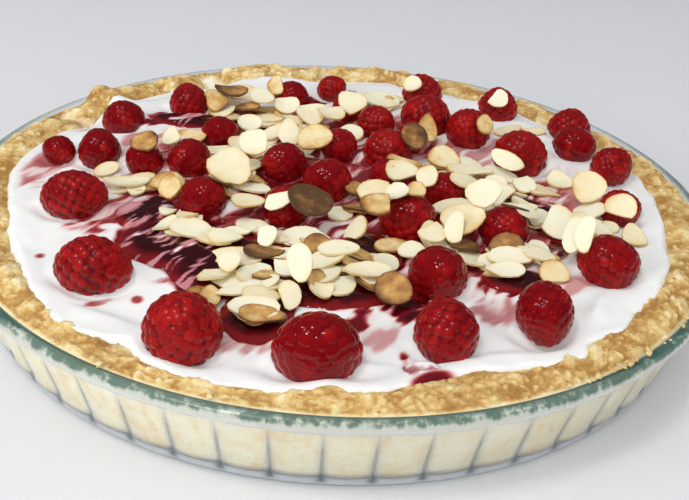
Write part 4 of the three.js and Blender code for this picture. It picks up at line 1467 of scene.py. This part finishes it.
def lay_flake(flake):
    """Finds how the flake lies on what is below it, and raises the ground by it."""
    shares = np.linspace(0.1, 1, 7)
    angles = np.linspace(0, 2 * np.pi, 28, endpoint=False)
    radius, angle = (grid.ravel() for grid in np.meshgrid(shares, angles))
    local = flake_shape(flake, radius, angle, 0)
    cosine, sine = math.cos(flake["turn"]), math.sin(flake["turn"])
    turn = np.array([[cosine, -sine, 0], [sine, cosine, 0], [0, 0, 1]])
    spread = local @ turn.T
    column, line = map_cell(spread[:, 0] + flake["x"], spread[:, 1] + flake["y"])
    below = ground[column, line]
    plane = np.column_stack([spread[:, 0], spread[:, 1], np.ones(len(spread))])
    weight = 1 + 3 * ease(below, np.percentile(below, 50), below.max() + 0.01)
    slope_x, slope_y, _ = np.linalg.lstsq(plane * weight[:, None], below * weight, rcond=None)[0]
    slope = np.array([slope_x, slope_y]) * flake["follows"]
    slope[1] = max(slope[1], flake["facing"])
    slope += flake["lean"]
    for steepest in STEEPEST:
        slope *= min(1, steepest / max(np.hypot(*slope), 1e-6))
        normal = Vector((-slope[0], -slope[1], 1)).normalized()
        tilt = np.array(Vector((0, 0, 1)).rotation_difference(normal).to_matrix())
        flake["matrix"] = tilt @ turn
        laid = local @ flake["matrix"].T
        column, line = map_cell(laid[:, 0] + flake["x"], laid[:, 1] + flake["y"])
        lift = np.percentile(ground[column, line] - laid[:, 2], flake["rests"]) + flake["thick"] / 2
        lift += OVER_DRUPELETS * (flake["rests"] == ON_BERRY)
        most = HIGHEST_FLAKE - laid[:, 2].max() - flake["thick"] / 2
        if lift < most:
            break
    flake["place"] = np.array([flake["x"], flake["y"], min(lift, most)])
    raise_ground(laid + flake["place"] + np.array([0, 0, flake["thick"] / 2]))
    return flake


CURLED_SHARE = 0.1
BROKEN_SHARE = 0.4
THICKNESS = (0.45, 0.75)
almond_draw = np.random.default_rng(5)


def new_flake(x, y, length, width, turn, toast, facing=-90.0, follows=1.0):
    """facing is how many degrees the flake is tipped towards the front, at the least, and
    follows how far it takes on the slope of what it lies on."""
    draw = almond_draw
    curled = 1.4 if draw.uniform() < CURLED_SHARE else 0
    return {
        "x": x, "y": y, "length": length, "width": width, "turn": turn, "toast": toast,
        "thick": draw.uniform(*THICKNESS), "bow": draw.normal(0.25, 0.45) + curled,
        "cup": draw.normal(0.15, 0.3), "twist": draw.normal(0, 0.35),
        "wobble": abs(draw.normal(0.014, 0.014)), "point": draw.uniform(0, 0.16),
        "taper": draw.uniform(0.02, 0.2), "phase": draw.uniform(0, 6),
        "lean": draw.normal(0, 0.1, 2), "follows": follows, "scorch": draw.uniform(0, 2 * np.pi),
        "facing": math.tan(math.radians(facing)), "left": draw.uniform(0.5, 0.75),
        "rests": ON_BERRY if facing > 0 else ELSEWHERE,
        "broken": draw.uniform(0, 2 * np.pi) if draw.uniform() < BROKEN_SHARE else None,
    }


# %% The flakes that stand out on top
# For each: x, y, length, width, turn, tip towards the front, and how toasted from 0 to 1.
# Turns and tips are in degrees.
TOP_FLAKES = [
    (-36, -6, 15, 14, 90, 27, 0.15), (-29, 10, 11.5, 11, 90, 40, 0.05), (-56, -8, 12, 10, 30, 10, 0.35),
    (-53, -20, 10, 9, 90, 28, 0.35), (-69, -8, 16, 8, 15, 0, 0.1), (-52, -37, 11, 6, 55, 0, 0),
    (-53, -27, 6, 5, -30, 0, 0), (-33.5, -43, 10.5, 8, 0, 0, 0.05), (-28, -27, 11, 10, 90, 11, 0.15),
    (-20, -11, 10, 6, 60, 0, 0), (-8.4, -28.4, 15.5, 13.5, 20, 10, 1), (1, -19, 10, 8, 90, 0, 0.05),
    (-21, -50.5, 13, 9, 0, 0, 0.8), (-21, -42, 9, 7, 90, 13, 0), (-9, -39, 17, 9, -8, 0, 0),
    (-3, -44.5, 15, 8, -14, 0, 0.1), (-34, -63, 11.5, 9, 80, 0, 0.05), (-30, -60, 9, 6.5, 90, 15, 0.05),
    (-34, -74, 9, 6, 90, 2, 0.4), (-26, -70, 14, 8, 20, 0, 0), (-20, -75, 11, 10, 70, 0, 0.15),
    (-12, -74.5, 9.5, 7, 90, 22, 0.05), (-9.5, -66, 13, 7, 90, 35, 0.05), (-15, -57.5, 9, 6.5, -40, 0, 0),
    (-20, -63, 8, 6.5, 30, 0, 0.4), (-5, -47, 10, 9, 90, 10, 0.5), (-2, -56, 14, 7.5, -5, 0, 0),
    (-4.5, -66.5, 9.5, 6.5, 55, 0, 0.4), (-3, -70, 9, 6.5, 50, 0, 0.1), (-21, -81, 15, 8, 5, 0, 0),
    (-18.5, -85, 14, 7.5, -8, 0, 0.5), (12, -10, 12, 11, 40, 21, 0.25), (6, -7, 8.5, 7, 0, 0, 0.6),
    (18, -25.5, 9, 8, 90, 12, 0), (24, -25, 9, 6, 90, 12, 0.3), (12.5, -33.5, 12, 10.5, 60, 14, 0.45),
    (6, -32, 10.5, 8.5, 90, 0, 0.05), (17.5, -40.5, 13, 7.5, 15, 0, 0.3), (6, -50, 14, 9, -30, 0, 0.6),
    (1, -53, 13.5, 7.5, -15, 0, 0), (10.5, -61, 15, 8, 15, 0, 0.05), (17, -69, 11, 10.5, 90, 39, 0.6),
    (23, -44, 9.5, 8, 90, 4, 0.05), (29, -35.5, 10, 8.5, 90, 15, 0.1), (39, -29, 14.5, 13.5, 90, 20, 0.15),
    (36.5, -35, 12, 6.5, 80, 33, 0), (38, -15, 16, 9, 10, 0, 0.05), (45.5, -20.5, 12, 11, 90, 11, 0.05),
    (42, -4.5, 14, 8, 15, 0, 0.05), (52, -1, 9.5, 8.5, 90, 22, 0), (53, -10, 10, 9, 90, 23, 0),
    (62, 3.5, 9, 8, 90, 17, 0.05), (69, 2, 13, 8, -15, 0, 0.2), (58, -19, 14, 8, -18, 0, 0),
    (59.5, -25.5, 10, 8, 90, 0, 0), (69, -23.5, 12.5, 12, 90, 34, 0.05), (82.5, -2, 12, 11, 70, 38, 0.15),
    (80, -15, 12, 7.5, -20, 0, 0.1), (75.5, -27.5, 11, 7, 45, 0, 0.05), (72, -39, 14, 7.5, 75, 26, 0),
    (75, -42, 14, 7.5, 75, 26, 0), (65, -52, 10, 9, 90, 21, 0.2), (52.5, -44.5, 14.5, 8, -5, 0, 0.05),
    (50.5, -52, 13, 7, 12, 0, 0), (60.5, -42, 15, 7.5, -45, 0, 0.05), (91.5, -13, 11, 10, 60, 40, 0.1),
    (94, -24.5, 9.5, 8, 90, 24, 0.1), (36, 21.5, 12, 11, 90, 17, 0.3), (25, 24, 11, 9.5, 90, 37, 0.8),
    (30.5, 37, 12, 7, 90, 40, 0.4), (51.5, 40.5, 9, 6.5, 90, 31, 0.35), (44.5, 13, 17, 9, 15, 0, 0.05),
    (58.5, 18, 16, 6, -52, 8, 0.1), (20.5, 1.5, 12.5, 11, 60, 0, 0.1), (29, -5, 10, 7, 90, 40, 0.05),
    (22, 10.5, 13.5, 9, 0, 0, 0.35), (-48, 55, 10, 9.5, 90, 25, 0.4), (-39.5, 71, 13, 11, 30, 0, 0.25),
    (-43, 63, 13.5, 12, 20, 5, 0.65), (-35.5, 53, 10, 9, 90, 6, 0.7), (-42, 47.5, 12, 9.5, 60, 0, 0.35),
    (-21.5, 58.5, 10, 9.5, 90, 34, 0), (-26, 69, 10, 7, 90, 40, 0.35), (-31, 58, 10, 9, 70, 12, 0.05),
    (-33.5, 39, 9.5, 8.5, 90, 22, 0), (-25, 34, 14, 7.5, 50, 0, 0.05), (-19, 27, 12, 8, 90, 40, 0.05),
    (-11.5, 49.5, 12, 11, 90, 22, 0.05), (-4.5, 48.5, 11.5, 10.5, 60, 15, 0.05),
    (3, 57.5, 11, 10.5, 90, 21, 0.05), (-9.5, 20, 13, 12, 30, 10, 0.25),
    (-36, 27, 9, 8.5, 0, 0, 0.15), (-44.5, 22.5, 14, 6.5, 15, 0, 0.15),
    (-53, 30, 12, 6, -20, 0, 0.35), (-66, 7.5, 10, 9, 30, 17, 0.6), (-78, 1.5, 10, 6, 50, 8, 0.1),
    (-58.5, 17.5, 9, 7, 90, 20, 0), (58.7, 68.6, 9, 8, 90, 38, 0), (62, 54, 12, 7, 20, 0, 0.1),
    (70.5, 54.5, 12, 7, -20, 0, 0.15), (14, 70.5, 16, 12, 0, 0, 0), (26.5, 78, 9, 7, 90, 10, 0),
    (3.5, 37, 9.5, 8.5, 90, 10, 0.05), (75.5, 11.5, 10, 9, 90, 6, 0.1), (82.5, -26.5, 9.5, 9, 90, 6, 0.05),
]
print(len(TOP_FLAKES), "flakes stand out")

# %% Heap the flakes
UNDER_SHARE = 1.7                     # flakes under those, for each one of a handful
TOASTED_FROM = 0.25                   # the flakes from here on are their own piece
FOLLOWS = 0.45                        # how far a flake on top takes on the slope below it
SHARP_FROM = math.radians(50)         # an edge that turns more than this stays sharp


def any_toast():
    return almond_draw.choice([0.0, 0.12, 0.35, 0.7], p=[0.5, 0.28, 0.14, 0.08])


laid_flakes = []
for flake in first_flakes:
    toast = any_toast()
    place = [flake[side] for side in ("x", "y", "length", "width", "turn")]
    laid_flakes.append(new_flake(*place, toast))
for x, y, spread, count in HANDFULS:
    for _ in range(round(count * UNDER_SHARE)):
        angle = almond_draw.uniform(0, 2 * np.pi)
        distance = 1.1 * spread * math.sqrt(almond_draw.uniform(0, 1))
        length = almond_draw.uniform(6.5, 14)
        width = length * almond_draw.uniform(0.5, 0.82)
        toast = any_toast()
        laid_flakes.append(new_flake(
            x + distance * math.cos(angle), y + distance * math.sin(angle),
            length, width, almond_draw.uniform(0, 2 * np.pi), toast))
for x, y, length, width, turn, facing, toast in TOP_FLAKES:
    turn += almond_draw.normal(0, 8) + 180 * almond_draw.integers(0, 2)
    laid_flakes.append(new_flake(x, y, length, width, math.radians(turn), toast, facing, FOLLOWS))
laid_flakes = [lay_flake(flake) for flake in laid_flakes]
print(len(laid_flakes), "flakes laid")


# %% Almond finish
def joined_flakes(name, flakes):
    """One mesh of all the flakes of a kind."""
    points, faces, edge, toast, tone = [], [], [], [], []
    for index, flake in enumerate(flakes):
        start = index * len(disc)
        shape = flake_shape(flake, disc_radius, disc_angle, disc_side)
        points.append(shape @ flake["matrix"].T + flake["place"])
        faces += [[corner + start for corner in face] for face in disc_faces]
        edge.append(disc_radius)
        one_side = np.clip(disc_radius * np.cos(disc_angle - flake["scorch"]), 0, 1) ** 2
        toast.append(flake["toast"] * 0.9 + (0.12 + 0.3 * flake["toast"]) * one_side)
        tone.append(np.full(len(disc), almond_draw.uniform(0, 1)))
    heap = mesh_piece(name, np.concatenate(points), faces)
    for attribute, values in {"edge": edge, "toast": toast, "tone": tone}.items():
        note(heap, attribute, np.concatenate(values))
    return heap


almond = Recipe("almond_flake")
burnt = almond.noted("toast")
rim = almond.noted("edge") ** 14
blotches = almond.noise(4, 4, 0.6) - 0.5
browned = burnt * (0.9 + 0.1 * rim) + 0.2 * rim + 0.10 * almond.noted("tone")
browned = browned + (0.14 + 1.1 * burnt) * blotches
nut = almond.ramp(almond.between(browned, -0.04, 1.0), [
    (0.0, (0.86, 0.82, 0.64)),
    (0.08, (0.83, 0.75, 0.52)),
    (0.26, (0.77, 0.59, 0.30)),
    (0.48, (0.58, 0.33, 0.10)),
    (0.72, (0.34, 0.16, 0.05)),
    (1.0, (0.10, 0.05, 0.02)),
])
almond.set(base_color=nut, roughness=0.5, specular_ior_level=0.3, subsurface_weight=0.12,
           subsurface_radius=(1.0, 0.8, 0.5), subsurface_scale=1.0 * MM)
almond.bump(almond.noise(1.4, 3, 0.6), 0.3, 0.2)
pale = [flake for flake in laid_flakes if flake["toast"] < TOASTED_FROM]
toasted = [flake for flake in laid_flakes if flake["toast"] >= TOASTED_FROM]
for name, flakes in {"almonds_pale": pale, "almonds_toasted": toasted}.items():
    heap = finish_piece(joined_flakes(name, flakes), almond.material, "cream")
    pick(heap)
    bpy.ops.object.shade_smooth_by_angle(angle=SHARP_FROM)
